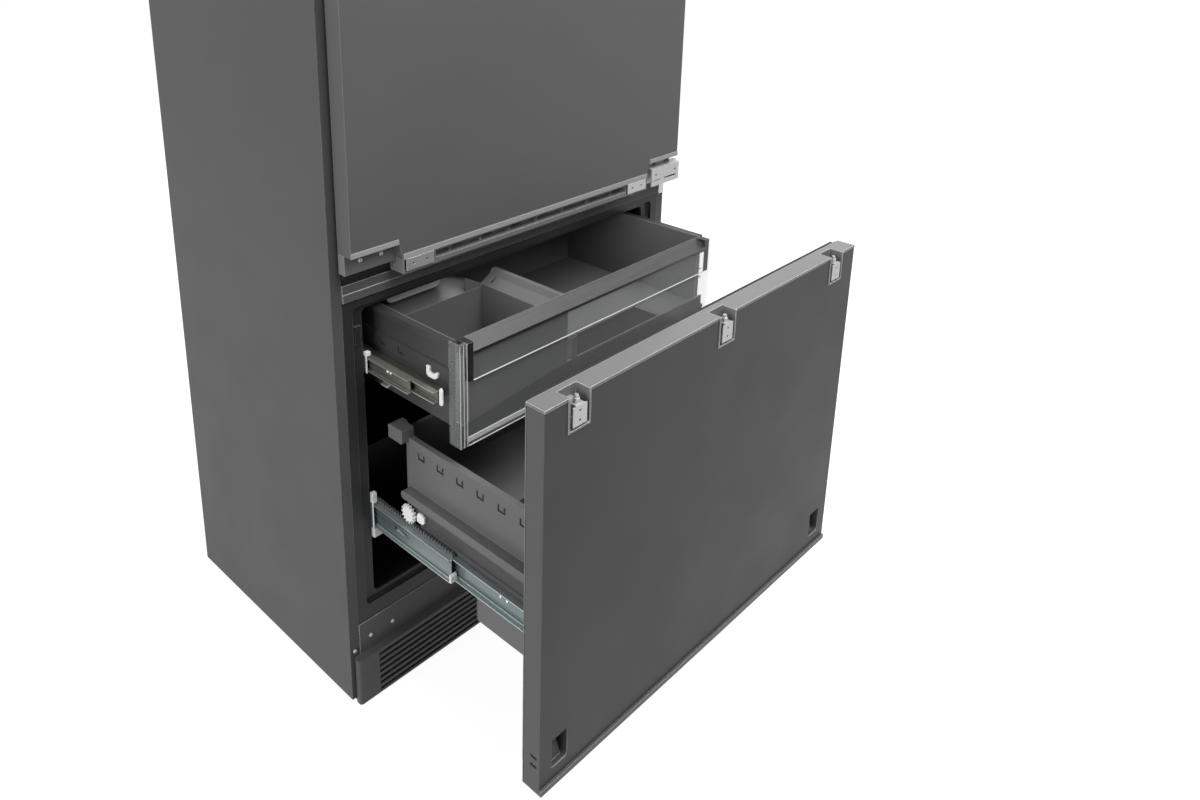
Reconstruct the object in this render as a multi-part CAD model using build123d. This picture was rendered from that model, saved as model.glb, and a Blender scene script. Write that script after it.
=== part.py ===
from build123d import *
import math
import os

# Bottom freezer refrigerator of the built-in, panel-ready kind: one fridge door above, one freezer
# drawer below with a second drawer inside it.  Everything is in millimetres.  The pieces are worked
# out with the cabinet's front plane at Y = 0 (front is -Y, back is +Y), the floor at Z = 0 and the
# middle of the cabinet at X = 0.  save() then moves them all back or forth together, so that the
# origin lies on the floor under the middle of the whole object with its drawers pulled out.

os.makedirs("parts", exist_ok=True)

# ---------------------------------------------------------------- cabinet
cabinet_width = 908.0  # 35 3/4 in
cabinet_depth = 565.0
cabinet_height = 2134.0  # 84 in
half = cabinet_width / 2
sheet = 1.0  # steel sheet of the wrapper, deck and covers
inner_half = half - sheet
wrapper_gap = 10.0  # the side sheets stop this far above the floor
side_flange = 21.0  # width of the steel flange seen from the front
top_flange = 22.0
frame_half = half - side_flange
frame_depth = 12.0  # moulded front frame round both openings
pocket_depth = 8.0  # step in that frame
side_wall = 66.0  # insulated wall beside the openings
side_land = 24.0  # step beside the clear opening
frame_land = 14.0  # step below it
upper_land = 9.0  # step above it
opening_half = half - side_wall
pocket_half = opening_half + side_land
corner_round = 12.0
liner_wall = 2.0
kick_top = 105.0
fit_gap = 0.3  # between pieces that only lie beside each other

freezer_floor = 215.0
freezer_height = 585.0
mullion = 98.0  # insulated wall between the compartments
top_wall = 50.0
rear_wall = 60.0  # insulated wall behind the freezer
fridge_rear_wall = 70.0
freezer_ceiling = freezer_floor + freezer_height
freezer_depth = cabinet_depth - rear_wall
fridge_floor = freezer_ceiling + mullion
fridge_ceiling = cabinet_height - top_wall
fridge_depth = cabinet_depth - fridge_rear_wall
deck_level = freezer_floor - 49.0
machine_roof = 302.0
machine_room = 283.0  # depth of the machine room
machine_front = cabinet_depth - machine_room
step_top = machine_roof + 38.0  # the freezer floor rises over the machine room
step_front = machine_front - 32.0
pan_level = 38.5
pan_sheet = 1.5

# ---------------------------------------------------------------- front panels
door_half = half - 14.0
drawer_half = half - 17.0
panel_front = 44.0  # the faces of door and drawer stand this far in front of the cabinet
skin_back = 8.0  # the folded skins end here, the inner panels start
door_sheet = 1.0
door_bottom = fridge_floor - 9.0
door_top = cabinet_height - 16.0
end_cap_bottom = door_bottom - 26.0
notch_side = door_half - 106.0  # the door's lower corner notches start here
notch_top = door_bottom + 30.0
notch_slant = 7.0
notch_floor = door_bottom - 5.0
recess_face = 25.0  # face of the plate inside the notches
drawer_bottom = 160.0
drawer_top = freezer_ceiling + 25.0
top_cap_height = 4.0
inner_panel = 2.5
gasket_width = 15.0
gasket_margin = 2.5  # the gasket lies this far outside the step, or just beside it on the drawer
gasket_centre = pocket_half + gasket_margin + gasket_width / 2

# ---------------------------------------------------------------- travel
freezer_pull = 426.0  # how far the freezer drawer is out in the modelled position
inner_pull = 232.0  # the inner drawer's share of it, in the modelled position
inner_closed = 25.0  # front of the inner drawer behind the front plane when shut

# ---------------------------------------------------------------- slides
cover_thick = 3.0
cover_y = freezer_depth - 37.0  # rear cover of the freezer, in front of the evaporator
slide_start = 3.0
slide_runner_start = 6.0
slide_length = cover_y - 28.0
slide_outer_x = opening_half - fit_gap
slide_sheet = 1.5
slide_reach = 10.7  # how far the fixed member's flanges reach from the wall
ball_gap = 0.8
lower_slide_z = freezer_floor + 170.0
lower_slide_height = 50.0
upper_slide_z = freezer_ceiling - 106.0
upper_slide_height = 30.0

# ---------------------------------------------------------------- hinge
hinge_x = half - 9.0
hinge_y = -30.0
pin_radius = 4.0
pin_clearance = 0.05
barrel_radius = 7.0
barrel_bottom = end_cap_bottom + 4.0
barrel_top = barrel_bottom + 40.0
ear_sheet = 4.0
ear_bottom = barrel_bottom - ear_sheet - 0.5

# ---------------------------------------------------------------- lower basket
frame_web = (slide_outer_x - 26.2, slide_outer_x - 21.5)  # upright sheet of the side frames
frame_shelf = (slide_outer_x - 35.2, slide_outer_x - 15.7)  # their flange, which carries the basket
frame_rear = slide_length - 126.0
frame_low = lower_slide_z - 19.0
frame_high = lower_slide_z + 65.0
frame_sheet = 2.0
basket_floor = frame_high + frame_sheet
basket_rim_top = basket_floor + 121.0
basket_rim_half = frame_web[0] - 1.5
basket_half = basket_rim_half - 8.0
basket_wall = 3.0
basket_back = cover_y - 92.0
basket_front = 9.0
deep_half = basket_half - 12.0
deep_floor = freezer_floor + 56.0
deep_back = step_front - 42.0

# ---------------------------------------------------------------- inner drawer
bin_half = frame_web[0] - 11.5
bin_rim_top = freezer_ceiling - 10.0
bin_bottom = upper_slide_z - 56.0
bin_wall = 3.0
bin_side = 12.0  # the side walls are hollow and thicker
bin_depth = slide_length - 48.0
glass_bottom = bin_bottom - 26.0
glass_sheet = 4.0

# ---------------------------------------------------------------- stabiliser gears
gear_teeth = 14
gear_pitch_radius = 16.0
gear_width = 6.5
gear_height = lower_slide_z + 46.0
gear_setback = frame_rear + 24.0  # gear axis behind the front plane when the drawer is shut
tooth_height = 2.2
root_gap = 0.4
shaft_radius = 4.0

drawer_reach = freezer_pull + panel_front + 4.0
front_y = (drawer_reach - cabinet_depth) / 2


def block(x, y, z):
    """Box between two limits on each axis."""
    size = [high - low for low, high in (x, y, z)]
    middle = [(low + high) / 2 for low, high in (x, y, z)]
    return Pos(*middle) * Box(*size)


def rod(centre, radius, length, axis="Z"):
    """Round bar about a centre, along one axis."""
    turn = {"X": Rot(0, 90, 0), "Y": Rot(90, 0, 0), "Z": Rot(0, 0, 0)}[axis]
    return Pos(*centre) * turn * Cylinder(radius, length)


def centred(half_width):
    return (-half_width, half_width)


def mirrored(shape):
    return mirror(shape, about=Plane.YZ)


def both_sides(shape):
    return [shape, mirrored(shape)]


def rounded(shape, radius, axis=Axis.Z):
    return fillet(shape.edges().filter_by(axis), radius)


def tray(x, y, z, wall, radius):
    """Open-topped bin with rounded upright corners."""
    outer = rounded(block(x, y, z), radius)
    inside = block(
        (x[0] + wall, x[1] - wall),
        (y[0] + wall, y[1] - wall),
        (z[0] + wall, z[1] + wall),
    )
    return outer - rounded(inside, radius - wall)


def channel(web_x, tip_x, y, z_centre, height):
    """Slide member: a web and two flanges, open towards tip_x."""
    inward = 1 if tip_x > web_x else -1
    z = (z_centre - height / 2, z_centre + height / 2)
    body = block(sorted((web_x, tip_x)), y, z)
    hollow_x = sorted((web_x + inward * slide_sheet, tip_x + inward * slide_sheet))
    return body - block(hollow_x, y, (z[0] + slide_sheet, z[1] - slide_sheet))


def save(name, *pieces):
    """Write one node; every piece is moved by the same step to the object's own origin."""
    placed = [Pos(0, front_y, 0) * solid for piece in pieces for solid in piece.solids()]
    shape = placed[0] if len(placed) == 1 else Compound(children=placed)
    export_step(shape, f"parts/{name}.step")


def pulled(shape):
    """Freezer drawer pieces are drawn shut and saved pulled out."""
    return Pos(0, -freezer_pull, 0) * shape


def half_pulled(shape):
    return Pos(0, -freezer_pull / 2, 0) * shape


def inner_pulled(shape):
    return Pos(0, -inner_pull, 0) * shape


def inner_half_pulled(shape):
    return Pos(0, -inner_pull / 2, 0) * shape


# ================================================================ cabinet shell
def side_sheet():
    """Left side of the wrapper, with its flange turned in at the front."""
    z = (wrapper_gap, cabinet_height - sheet)
    wall = block((-half, -inner_half), (0, cabinet_depth), z)
    flange = block((-half, -frame_half), (0, sheet), z)
    lip = block((-frame_half - sheet, -frame_half), (0, frame_depth), z)
    return wall + flange + lip


def roof_sheet():
    """Top of the wrapper; its flange is turned down between those of the sides."""
    level = (cabinet_height - sheet, cabinet_height)
    roof = block(centred(half), (0, cabinet_depth), level)
    drop = block(centred(frame_half), (0, sheet), (cabinet_height - top_flange, cabinet_height))
    return roof + drop


def back_panel():
    z = (machine_roof, cabinet_height - sheet)
    return block(centred(inner_half), (cabinet_depth - sheet, cabinet_depth), z)


inlet_x = inner_half - 129.0
inlet_z = 65.0
inlet_half_width = 24.0
inlet_half_height = 15.0
inlet_wall = 4.0
inlet_depth = 24.0


def inlet_mouth():
    """Hollow of the mains socket, which also passes through the rear cover."""
    return block(
        (inlet_x - inlet_half_width + inlet_wall, inlet_x + inlet_half_width - inlet_wall),
        (cabinet_depth - inlet_depth + inlet_wall, cabinet_depth + sheet),
        (inlet_z - inlet_half_height + inlet_wall, inlet_z + inlet_half_height - inlet_wall),
    )


def machine_cover():
    """Louvred steel cover over the compressor, at the foot of the back."""
    z = (pan_level + pan_sheet, machine_roof - sheet)
    plate = block(centred(inner_half), (cabinet_depth - sheet, cabinet_depth), z)
    slot_count = 7
    slot_pitch = 26.0
    slot_height = 8.0
    slot_edge = inner_half - 113.0
    first = pan_level + 51.5
    for side in (-1, 1):
        for row in range(slot_count):
            low = first + row * slot_pitch
            x = sorted((side * 60.0, side * slot_edge))
            plate -= block(x, (cabinet_depth - 2 * sheet, cabinet_depth + sheet), (low, low + slot_height))
    return plate - inlet_mouth()


def bottom_deck():
    """Sheet under the insulation, stepped up over the compressor."""
    low = block(centred(inner_half), (frame_depth, machine_front), (deck_level - sheet, deck_level))
    rise = block(
        centred(inner_half),
        (machine_front - sheet, machine_front),
        (deck_level - sheet, machine_roof),
    )
    high = block(
        centred(inner_half),
        (machine_front - sheet, cabinet_depth - sheet),
        (machine_roof - sheet, machine_roof),
    )
    return low + rise + high


def base_pan():
    """Floor sheet between the sides; its front edge closes the machine room behind the grille."""
    floor = block(
        centred(inner_half),
        (frame_depth, cabinet_depth - sheet),
        (pan_level, pan_level + pan_sheet),
    )
    lip_z = (wrapper_gap + 2, kick_top - 20)
    lip = block(centred(inner_half), (frame_depth, frame_depth + pan_sheet), lip_z)
    return floor + lip


def front_opening(floor, ceiling):
    """Stepped and rounded opening to cut from the front frame."""
    pocket = block(
        centred(pocket_half),
        (-sheet, pocket_depth),
        (floor - frame_land, ceiling + upper_land),
    )
    through = block(centred(opening_half), (0, 2 * frame_depth), (floor, ceiling))
    return rounded(pocket, corner_round, Axis.Y) + rounded(through, corner_round, Axis.Y)


def front_frame():
    """Moulded frame round both openings, with a plug on each side of the freezer's step."""
    plate = block(centred(frame_half), (0, frame_depth), (kick_top, cabinet_height - top_flange))
    plate -= front_opening(freezer_floor, freezer_ceiling)
    plate -= front_opening(fridge_floor, fridge_ceiling)
    plug_x = (-pocket_half + 7, -opening_half - 5)
    plug_z = (freezer_ceiling - 65, freezer_ceiling - 29)
    plug = block(plug_x, (pocket_depth - 3, pocket_depth + 1), plug_z)
    return plate + plug + mirrored(plug)


rail_low = drawer_top + 0.5
rail_step = rail_low + 14.5
rail_top = end_cap_bottom - 7.0
plate_top = freezer_floor - 45.0
screw_radius = 3.5
screw_height = 1.5


def mullion_rail():
    """Stepped trim bar across the cabinet between the two openings."""
    lower = block(centred(frame_half - 1), (-4, 0), (rail_low, rail_step))
    upper = block(centred(frame_half - 1), (-2.5, 0), (rail_step, rail_top))
    return lower + upper


def lower_front_plate():
    return block(centred(frame_half - 1), (-1.5, 0), (kick_top, plate_top))


def front_screws():
    """Screw heads on the lower plate and on the side flanges."""
    heads = [
        rod((frame_half - inset, -1.5 - screw_height / 2, kick_top + 28), screw_radius, screw_height, "Y")
        for inset in (26, 78)
    ]
    flange_middle = frame_half + side_flange / 2
    heads.append(rod((flange_middle, -screw_height / 2, kick_top + 13), screw_radius, screw_height, "Y"))
    return [piece for head in heads for piece in both_sides(head)]


grille_half = half - 7.0
grille_wall = 3.0
grille_front = 17.5
grille_slots = 7
grille_slot_half = grille_half - 47.0


def kick_grille():
    """Moulded toe grille, open to the rear above its floor, with seven long slots."""
    outer = rounded(block(centred(grille_half), (-grille_front, 0), (4, kick_top)), 6.0)
    inside = block(
        centred(grille_half - grille_wall),
        (-grille_front + grille_wall, 2 * frame_depth),
        (4 + grille_wall, kick_top - grille_wall),
    )
    floor_y = (-1, frame_depth - fit_gap)
    floor = block(centred(grille_half - grille_wall), floor_y, (4, 4 + grille_wall))
    shell = outer - inside + floor
    slot_pitch = 13.4
    slot_height = 7.2
    for row in range(grille_slots):
        low = 9.0 + row * slot_pitch
        y = (-grille_front - 1, -grille_front + grille_wall + 1)
        shell -= block(centred(grille_slot_half), y, (low, low + slot_height))
    tongue_x = (-frame_half + 11, -frame_half + 25)
    tongue = block(tongue_x, (-grille_front + grille_wall, frame_depth), (60, 72))
    return shell + tongue + mirrored(tongue)


def liner(floor, ceiling, depth, step=None):
    """Vacuum-formed tub, open at the front; a step lifts the rear of its floor."""
    y = (frame_depth, depth)
    outer = block(
        centred(opening_half + liner_wall),
        (y[0], y[1] + liner_wall),
        (floor - liner_wall, ceiling + liner_wall),
    )
    inside = block(centred(opening_half), (0, y[1]), (floor, ceiling))
    if step:
        rear_y, rear_z = step
        outer -= block(
            centred(half), (rear_y + liner_wall, 2 * depth), (0, rear_z - liner_wall)
        )
        inside -= block(centred(half), (rear_y, 2 * depth), (0, rear_z))
    return outer, outer - inside


def cabinet_foam():
    """Insulation that fills the space between the wrapper and the two liners."""
    fill = block(
        centred(inner_half),
        (frame_depth, cabinet_depth - sheet),
        (deck_level, cabinet_height - sheet),
    )
    fill -= block(centred(half), (machine_front - sheet, cabinet_depth), (0, machine_roof))
    freezer_space, _ = liner(freezer_floor, freezer_ceiling, freezer_depth, (step_front, step_top))
    fridge_space, _ = liner(fridge_floor, fridge_ceiling, fridge_depth)
    return fill - freezer_space - fridge_space


# ================================================================ feet and machine room
roller_radius = 17.0
roller_width = 18.0
roller_y = cabinet_depth - 45.0
roller_x = inner_half - 53.0
axle_radius = 4.0


foot_x = inner_half - 38.0
foot_y = 45.0
foot_disc = 8.0
foot_nut = 7.0


def front_feet():
    """Two screwed levelling feet: a disc on the floor with its stud up to the base pan."""
    disc = rod((foot_x, foot_y, foot_disc / 2), 19, foot_disc)
    hexagon = extrude(Plane.XY.offset(foot_disc) * Pos(foot_x, foot_y) * RegularPolygon(9, 6), foot_nut)
    stud_foot = foot_disc + foot_nut
    stud = rod((foot_x, foot_y, (stud_foot + pan_level) / 2), 5, pan_level - stud_foot)
    return both_sides(disc + hexagon + stud)


def roller_forks():
    """Steel forks under the base pan, each with the axle its wheel turns on."""
    outside = roller_width / 2 + 1.0
    x = (roller_x - outside - 2, roller_x + outside + 2)
    fork = block(x, (roller_y - 14, roller_y + 14), (10, pan_level))
    slot_x = (roller_x - outside, roller_x + outside)
    fork -= block(slot_x, (roller_y - 40, roller_y + 40), (0, pan_level + 20))
    axle = rod((roller_x, roller_y, roller_radius), axle_radius, 2 * outside + 4, "X")
    return both_sides(fork + axle)


def rear_roller(side):
    bore = axle_radius + pin_clearance
    wheel = rod((side * roller_x, roller_y, roller_radius), roller_radius, roller_width, "X")
    wheel = chamfer(wheel.edges().filter_by(GeomType.CIRCLE), 1.0)
    return wheel - rod((side * roller_x, roller_y, roller_radius), bore, 2 * roller_width, "X")


compressor_x = 190.0
compressor_y = cabinet_depth - 135.0
compressor_radius = 82.0
compressor_foot = pan_level + pan_sheet + 18.0
grommet_radius = 11.0


def compressor():
    """Sealed steel can on a foot plate, with its three pipe stubs and terminal box."""
    can = rod((compressor_x, compressor_y, compressor_foot + 88), compressor_radius, 170)
    can = fillet(can.edges().filter_by(GeomType.CIRCLE), 28)
    seam_z = compressor_foot + 95
    can += rod((compressor_x, compressor_y, seam_z), compressor_radius + 3, 5)
    plate = block(
        (compressor_x - 105, compressor_x + 105),
        (compressor_y - 75, compressor_y + 75),
        (compressor_foot, compressor_foot + 4),
    )
    stubs = [
        rod((compressor_x - 88, compressor_y + shift, seam_z + 24), 5, 40, "X")
        for shift in (-20, 0, 20)
    ]
    box = block(
        (compressor_x + 74, compressor_x + 112),
        (compressor_y - 26, compressor_y + 26),
        (seam_z - 22, seam_z + 34),
    )
    body = can + plate + box
    for stub in stubs:
        body += stub
    return body


def compressor_grommets():
    """Rubber mounts between the compressor's foot plate and the base pan."""
    top = compressor_foot
    bottom = pan_level + pan_sheet
    return [
        rod((compressor_x + dx, compressor_y + dy, (top + bottom) / 2), grommet_radius, top - bottom)
        for dx in (-90, 90)
        for dy in (-60, 60)
    ]


def condenser():
    """Finned condenser block that stands behind the toe grille."""
    low = pan_level + pan_sheet
    x = (-inner_half + 53, -40)
    y = (60, 120)
    frame = block(x, y, (low, low + 112))
    fin_gap = 14.0
    fins = int((x[1] - x[0] - 2 * fin_gap) / (2 * fin_gap))
    for fin in range(fins):
        left = x[0] + fin_gap * (1 + 2 * fin)
        frame -= block((left, left + fin_gap), (y[0] - 10, y[1] + 10), (low + 8, low + 104))
    for row in (30, 56, 82):
        middle = ((x[0] + x[1]) / 2, (y[0] + y[1]) / 2, low + row)
        frame += rod(middle, 4, x[1] - x[0] - 8, "X")
    return frame


fan_y = 190.0
fan_x = -220.0
fan_level = pan_level + pan_sheet + 60.0
fan_radius = 46.0
hub_radius = 13.0


def fan_blades(x, y, z, radius):
    """Hub with five twisted blades, its bore open to the rear; the axis runs along Y."""
    hub = Cylinder(hub_radius, 16)
    wheel = hub
    for blade in range(5):
        sheet_piece = Pos((radius + hub_radius) / 2 - 2, 0, 0) * Rot(28, 0, 0) * Box(
            radius - hub_radius + 2, 24, 2.5
        )
        wheel += Rot(0, 0, 72 * blade) * sheet_piece
    wheel = wheel & Cylinder(radius, 40)
    wheel -= Pos(0, 0, -8) * Cylinder(axle_radius + pin_clearance, 20)
    return Pos(x, y, z) * Rot(90, 0, 0) * wheel


def condenser_fan_frame():
    """Shroud, motor and shaft of the fan that draws air through the condenser."""
    low = pan_level + pan_sheet
    shroud = block((fan_x - 58, fan_x + 58), (fan_y - 14, fan_y + 14), (low, low + 120))
    shroud -= rod((fan_x, fan_y, fan_level), fan_radius + 3, 60, "Y")
    motor_y = fan_y + 34
    motor = rod((fan_x, motor_y, fan_level), 22, 26, "Y")
    shaft = rod((fan_x, fan_y + 13, fan_level), axle_radius, 24, "Y")
    post = block((fan_x - 10, fan_x + 10), (motor_y - 10, motor_y + 10), (low, fan_level))
    foot = block((fan_x - 10, fan_x + 10), (fan_y + 10, motor_y), (low, low + 4))
    return shroud + motor + shaft + post + foot


def drain_pan():
    """Tray that catches the defrost water, and the tube that brings it down."""
    low = pan_level + pan_sheet
    pan_x = (-inner_half + 73, 40)
    pan_y = (machine_front + 18, cabinet_depth - 35)
    pan = tray(pan_x, pan_y, (low, low + 40), 2.5, 12)
    top = machine_roof - sheet
    bottom = low + 20
    middle = (-150, cabinet_depth - 65, (top + bottom) / 2)
    return [pan, rod(middle, 9, top - bottom) - rod(middle, 7, 2 * top)]


def power_inlet():
    """Recessed mains socket behind the rear cover, with its three blades."""
    body = block(
        (inlet_x - inlet_half_width, inlet_x + inlet_half_width),
        (cabinet_depth - inlet_depth, cabinet_depth - sheet),
        (inlet_z - inlet_half_height, inlet_z + inlet_half_height),
    )
    body -= inlet_mouth()
    root = cabinet_depth - inlet_depth + inlet_wall
    for shift in (-12, 0, 12):
        x = (inlet_x + shift - 1, inlet_x + shift + 1)
        body += block(x, (root - 1, root + 12), (inlet_z - 3, inlet_z + 3))
    return body


# ================================================================ freezer compartment
evaporator_fan_z = freezer_ceiling - 65.0
evaporator_fan_radius = 44.0
evaporator_fan_y = freezer_depth - 26.0
duct_slots = 3
duct_pitch = 40.0


def evaporator_cover():
    """Rear panel of the freezer, with the fan's opening, air slots and four spacer feet."""
    z = (step_top + 4, freezer_ceiling - 2)
    plate = block(centred(opening_half - 6), (cover_y, cover_y + cover_thick), z)
    plate -= rod((0, cover_y, evaporator_fan_z), evaporator_fan_radius + 3, 40, "Y")
    for side in (-1, 1):
        for row in range(duct_slots):
            x = sorted((side * 120, side * (opening_half - 68)))
            low = freezer_ceiling - 180 + duct_pitch * row
            plate -= block(x, (cover_y - 5, cover_y + 10), (low, low + 10))
    foot_level = (z[0] + 16, z[1] - 28)
    for level in foot_level:
        for x in (-opening_half + 28, opening_half - 28):
            plate += block((x - 8, x + 8), (cover_y, freezer_depth), (level, level + 12))
    return plate


coil_half = opening_half - 88.0
coil_low = step_top + 60.0
coil_high = coil_low + 200.0
fin_pitch = 30.0


def evaporator():
    """Finned cooling coil behind the rear panel."""
    y = (cover_y + cover_thick + 4, freezer_depth)
    coil = block(centred(coil_half), y, (coil_low, coil_high))
    for fin in range(int((2 * coil_half - fin_pitch / 2) / fin_pitch)):
        left = -coil_half + fin_pitch * (fin + 0.5)
        coil -= block((left, left + fin_pitch / 2), (cover_y, freezer_depth + 10), (coil_low + 12, coil_high - 12))
    for row in range(4):
        coil += rod((0, (y[0] + y[1]) / 2, coil_low + 35 + 42 * row), 5, 2 * coil_half - 2, "X")
    return coil


def evaporator_fan_motor():
    """Motor and shaft of the freezer fan, on the rear wall."""
    motor = rod((0, freezer_depth - 6, evaporator_fan_z), 16, 12, "Y")
    shaft = rod((0, freezer_depth - 17, evaporator_fan_z), axle_radius, 16, "Y")
    return motor + shaft


def outer_slides():
    """Fixed slide members on the liner's side walls, a pair for each drawer."""
    y = (slide_start, slide_start + slide_length)
    tip = slide_outer_x - slide_reach
    lower = channel(slide_outer_x, tip, y, lower_slide_z, lower_slide_height)
    upper = channel(slide_outer_x, tip, y, upper_slide_z, upper_slide_height)
    return both_sides(lower) + both_sides(upper)


bracket_foot = 25.7


def slide_brackets():
    """White moulded end pieces at the front of the fixed slide members: the lower have hook and foot."""
    inner_x = slide_outer_x - slide_sheet - 0.2
    y = (-1, slide_start - fit_gap)
    above = lower_slide_z + lower_slide_height / 2 + 2
    below = lower_slide_z - lower_slide_height / 2 - 2
    lower = block((inner_x, slide_outer_x), y, (below - 19, above + 21))
    lower += block((slide_outer_x - slide_reach + 1, slide_outer_x), (-1, 8), (above, above + 21))
    lower += block((slide_outer_x - bracket_foot, slide_outer_x), (-1, 8), (below - 19, below))
    above = upper_slide_z + upper_slide_height / 2 + 1
    below = upper_slide_z - upper_slide_height / 2 - 1
    upper = block((inner_x, slide_outer_x), y, (below, above + 8))
    upper += block((slide_outer_x - slide_reach + 1, slide_outer_x), (-1, 8), (above, above + 8))
    return both_sides(lower) + both_sides(upper)


# ================================================================ slide middles
def middle_member(z_centre, height):
    """H-section member: its outward flanges run in the fixed one, its inward flanges carry."""
    z_half = height / 2 - slide_sheet - ball_gap
    web_x = slide_outer_x - 8.2
    y = (slide_runner_start, slide_runner_start + slide_length)
    body = block((web_x - 9.3, web_x + 6.2), y, (z_centre - z_half, z_centre + z_half))
    cut = (z_centre - z_half + slide_sheet, z_centre + z_half - slide_sheet)
    body -= block((web_x, web_x + 20), y, cut)
    body -= block((web_x - 20, web_x - slide_sheet), y, cut)
    return body


rack_low = lower_slide_z + lower_slide_height / 2 - slide_sheet - ball_gap
rack_x = (slide_outer_x - 17.5, slide_outer_x - 11.2)


def slide_rack():
    """Toothed strip on top of the lower middle member; the stabiliser gear rolls along it."""
    pitch = 2 * math.pi * gear_pitch_radius / gear_teeth
    root = gear_height - gear_pitch_radius - tooth_height - root_gap
    crest = gear_height - gear_pitch_radius + tooth_height
    strip = block(rack_x, (slide_runner_start, slide_length), (rack_low, root))
    # a gap of the gear lies over a tooth of the rack where the gear stands in the pulled-out pose
    gear_y = gear_setback - freezer_pull / 2
    first = gear_y % pitch
    base = pitch * 0.52
    tip = pitch * 0.22
    outline = Plane.YZ * Polygon(
        (-base / 2, root - 0.2),
        (base / 2, root - 0.2),
        (tip / 2, crest),
        (-tip / 2, crest),
        align=None,
    )
    tooth = Pos(rack_x[0], 0, 0) * extrude(outline, rack_x[1] - rack_x[0])
    count = int((slide_length - first) / pitch)
    teeth = [Pos(0, first + pitch * index, 0) * tooth for index in range(1, count)]
    return strip + teeth


# ================================================================ freezer drawer
notch_inset = 70.5  # middle of the outer notches from the drawer's side
notch_centres = (-drawer_half + notch_inset, 0.0, drawer_half - notch_inset)
notch_half = 20.5
notch_depth = 25.0
notch_bottom = drawer_top - 53.0
pocket_wall = 2.0
rim_width = 3.0
rim_proud = 1.5


def notch_box(x_centre, grow=0.0):
    """Space of one of the three bracket notches in the drawer's top edge."""
    return block(
        (x_centre - notch_half - grow, x_centre + notch_half + grow),
        (-panel_front - rim_proud - 1, -panel_front + notch_depth + grow),
        (notch_bottom - grow, drawer_top + 1),
    )


socket_inset = (63.0, 26.0)  # edges of the lower corner holes from the drawer's side
socket_z = (drawer_bottom + 30.0, drawer_bottom + 85.0)
socket_depth = 26.0
socket_round = 6.0
trim_sheet = 3.0
side_slot_levels = (drawer_bottom + 47.0, drawer_bottom + 64.0)


def socket_box(side, grow=0.0):
    """Space of one lower corner hole in the drawer's face, rounded at its foot."""
    x = sorted(side * (drawer_half - inset) for inset in socket_inset)
    space = block(
        (x[0] - grow, x[1] + grow),
        (-panel_front - 1, -panel_front + socket_depth + grow),
        (socket_z[0] - grow, socket_z[1] + grow),
    )
    foot = space.edges().filter_by(Axis.Y).group_by(Axis.Z)[0]
    return fillet(foot, socket_round + grow)


def drawer_skin():
    """Folded steel face of the freezer drawer, with notches, corner holes and side slots."""
    top = drawer_top - top_cap_height
    y = (-panel_front, -skin_back)
    outer = block(centred(drawer_half), y, (drawer_bottom, top))
    inside = block(
        centred(drawer_half - door_sheet),
        (-panel_front + door_sheet, 0),
        (drawer_bottom + door_sheet, drawer_top),
    )
    shell = outer - inside
    for x in notch_centres:
        shell -= notch_box(x, pocket_wall)
    for side in (-1, 1):
        shell -= socket_box(side)
    slot_y = (-panel_front + 6, -panel_front + 20)
    for level in side_slot_levels:
        shell -= rounded(block(centred(half), slot_y, (level - 2.5, level + 2.5)), 2.4, Axis.X)
    return shell


def drawer_foam():
    fill = block(
        centred(drawer_half - door_sheet),
        (-panel_front + door_sheet, -skin_back),
        (drawer_bottom + door_sheet, drawer_top - top_cap_height),
    )
    for x in notch_centres:
        fill -= notch_box(x, pocket_wall)
    for side in (-1, 1):
        fill -= socket_box(side, pocket_wall)
    return fill


def drawer_top_cap():
    """Light moulded cap along the drawer's top edge, with the three bracket pockets."""
    cap = block(
        (-drawer_half, drawer_half + 1.5),
        (-panel_front, -skin_back),
        (drawer_top - top_cap_height, drawer_top),
    )
    for x in notch_centres:
        pocket = notch_box(x, pocket_wall) & block(centred(half), (-panel_front, 0), (0, drawer_top))
        rim_z = (notch_bottom - rim_width, drawer_top)
        rim_half = notch_half + rim_width
        rim = block((x - rim_half, x + rim_half), (-panel_front - rim_proud, -panel_front), rim_z)
        cap = cap + pocket + rim - notch_box(x)
    return cap


def drawer_socket(side):
    """Moulded cup in a lower corner hole, with its sloped seat and upright screw boss."""
    back = -panel_front + socket_depth
    cup = socket_box(side, pocket_wall) - socket_box(side)
    cup &= block(centred(half), (-panel_front + door_sheet, 0), (0, drawer_top))
    low = socket_z[0]
    wedge = Plane.YZ * Polygon((back, low), (back, low + 42), (back - 16, low), align=None)
    middle = side * (drawer_half - sum(socket_inset) / 2)
    seat = Pos(middle - 12.5, 0, 0) * extrude(wedge, 25)
    boss = rod((middle, back - 1, (low + socket_z[1]) / 2), 5, socket_z[1] - low)
    boss &= block(centred(half), (back - 10, back + pocket_wall), (0, drawer_top))
    return cup + seat + boss


def drawer_bottom_trim():
    """Angle strip under the drawer, its lip standing proud of the face."""
    low = drawer_bottom - trim_sheet
    under = block(centred(drawer_half), (-panel_front - 4, -skin_back), (low, drawer_bottom))
    lip = block(centred(drawer_half), (-panel_front - 4, -panel_front), (low, low + 10))
    return under + lip


field_half = opening_half - 30.0
field_face = 5.0


def drawer_inner_panel():
    """Moulded back of the drawer front, with a raised field."""
    sheet_back = block(
        centred(drawer_half - 4), (-skin_back, -skin_back + inner_panel), (drawer_bottom + 4, drawer_top - 1)
    )
    low = drawer_bottom + 70
    high = drawer_top - 45
    field = block(centred(field_half), (-skin_back, field_face), (low, high))
    hollow = block(
        centred(field_half - inner_panel),
        (-skin_back - 1, field_face - inner_panel),
        (low + inner_panel, high - inner_panel),
    )
    return sheet_back + field - hollow


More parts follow.
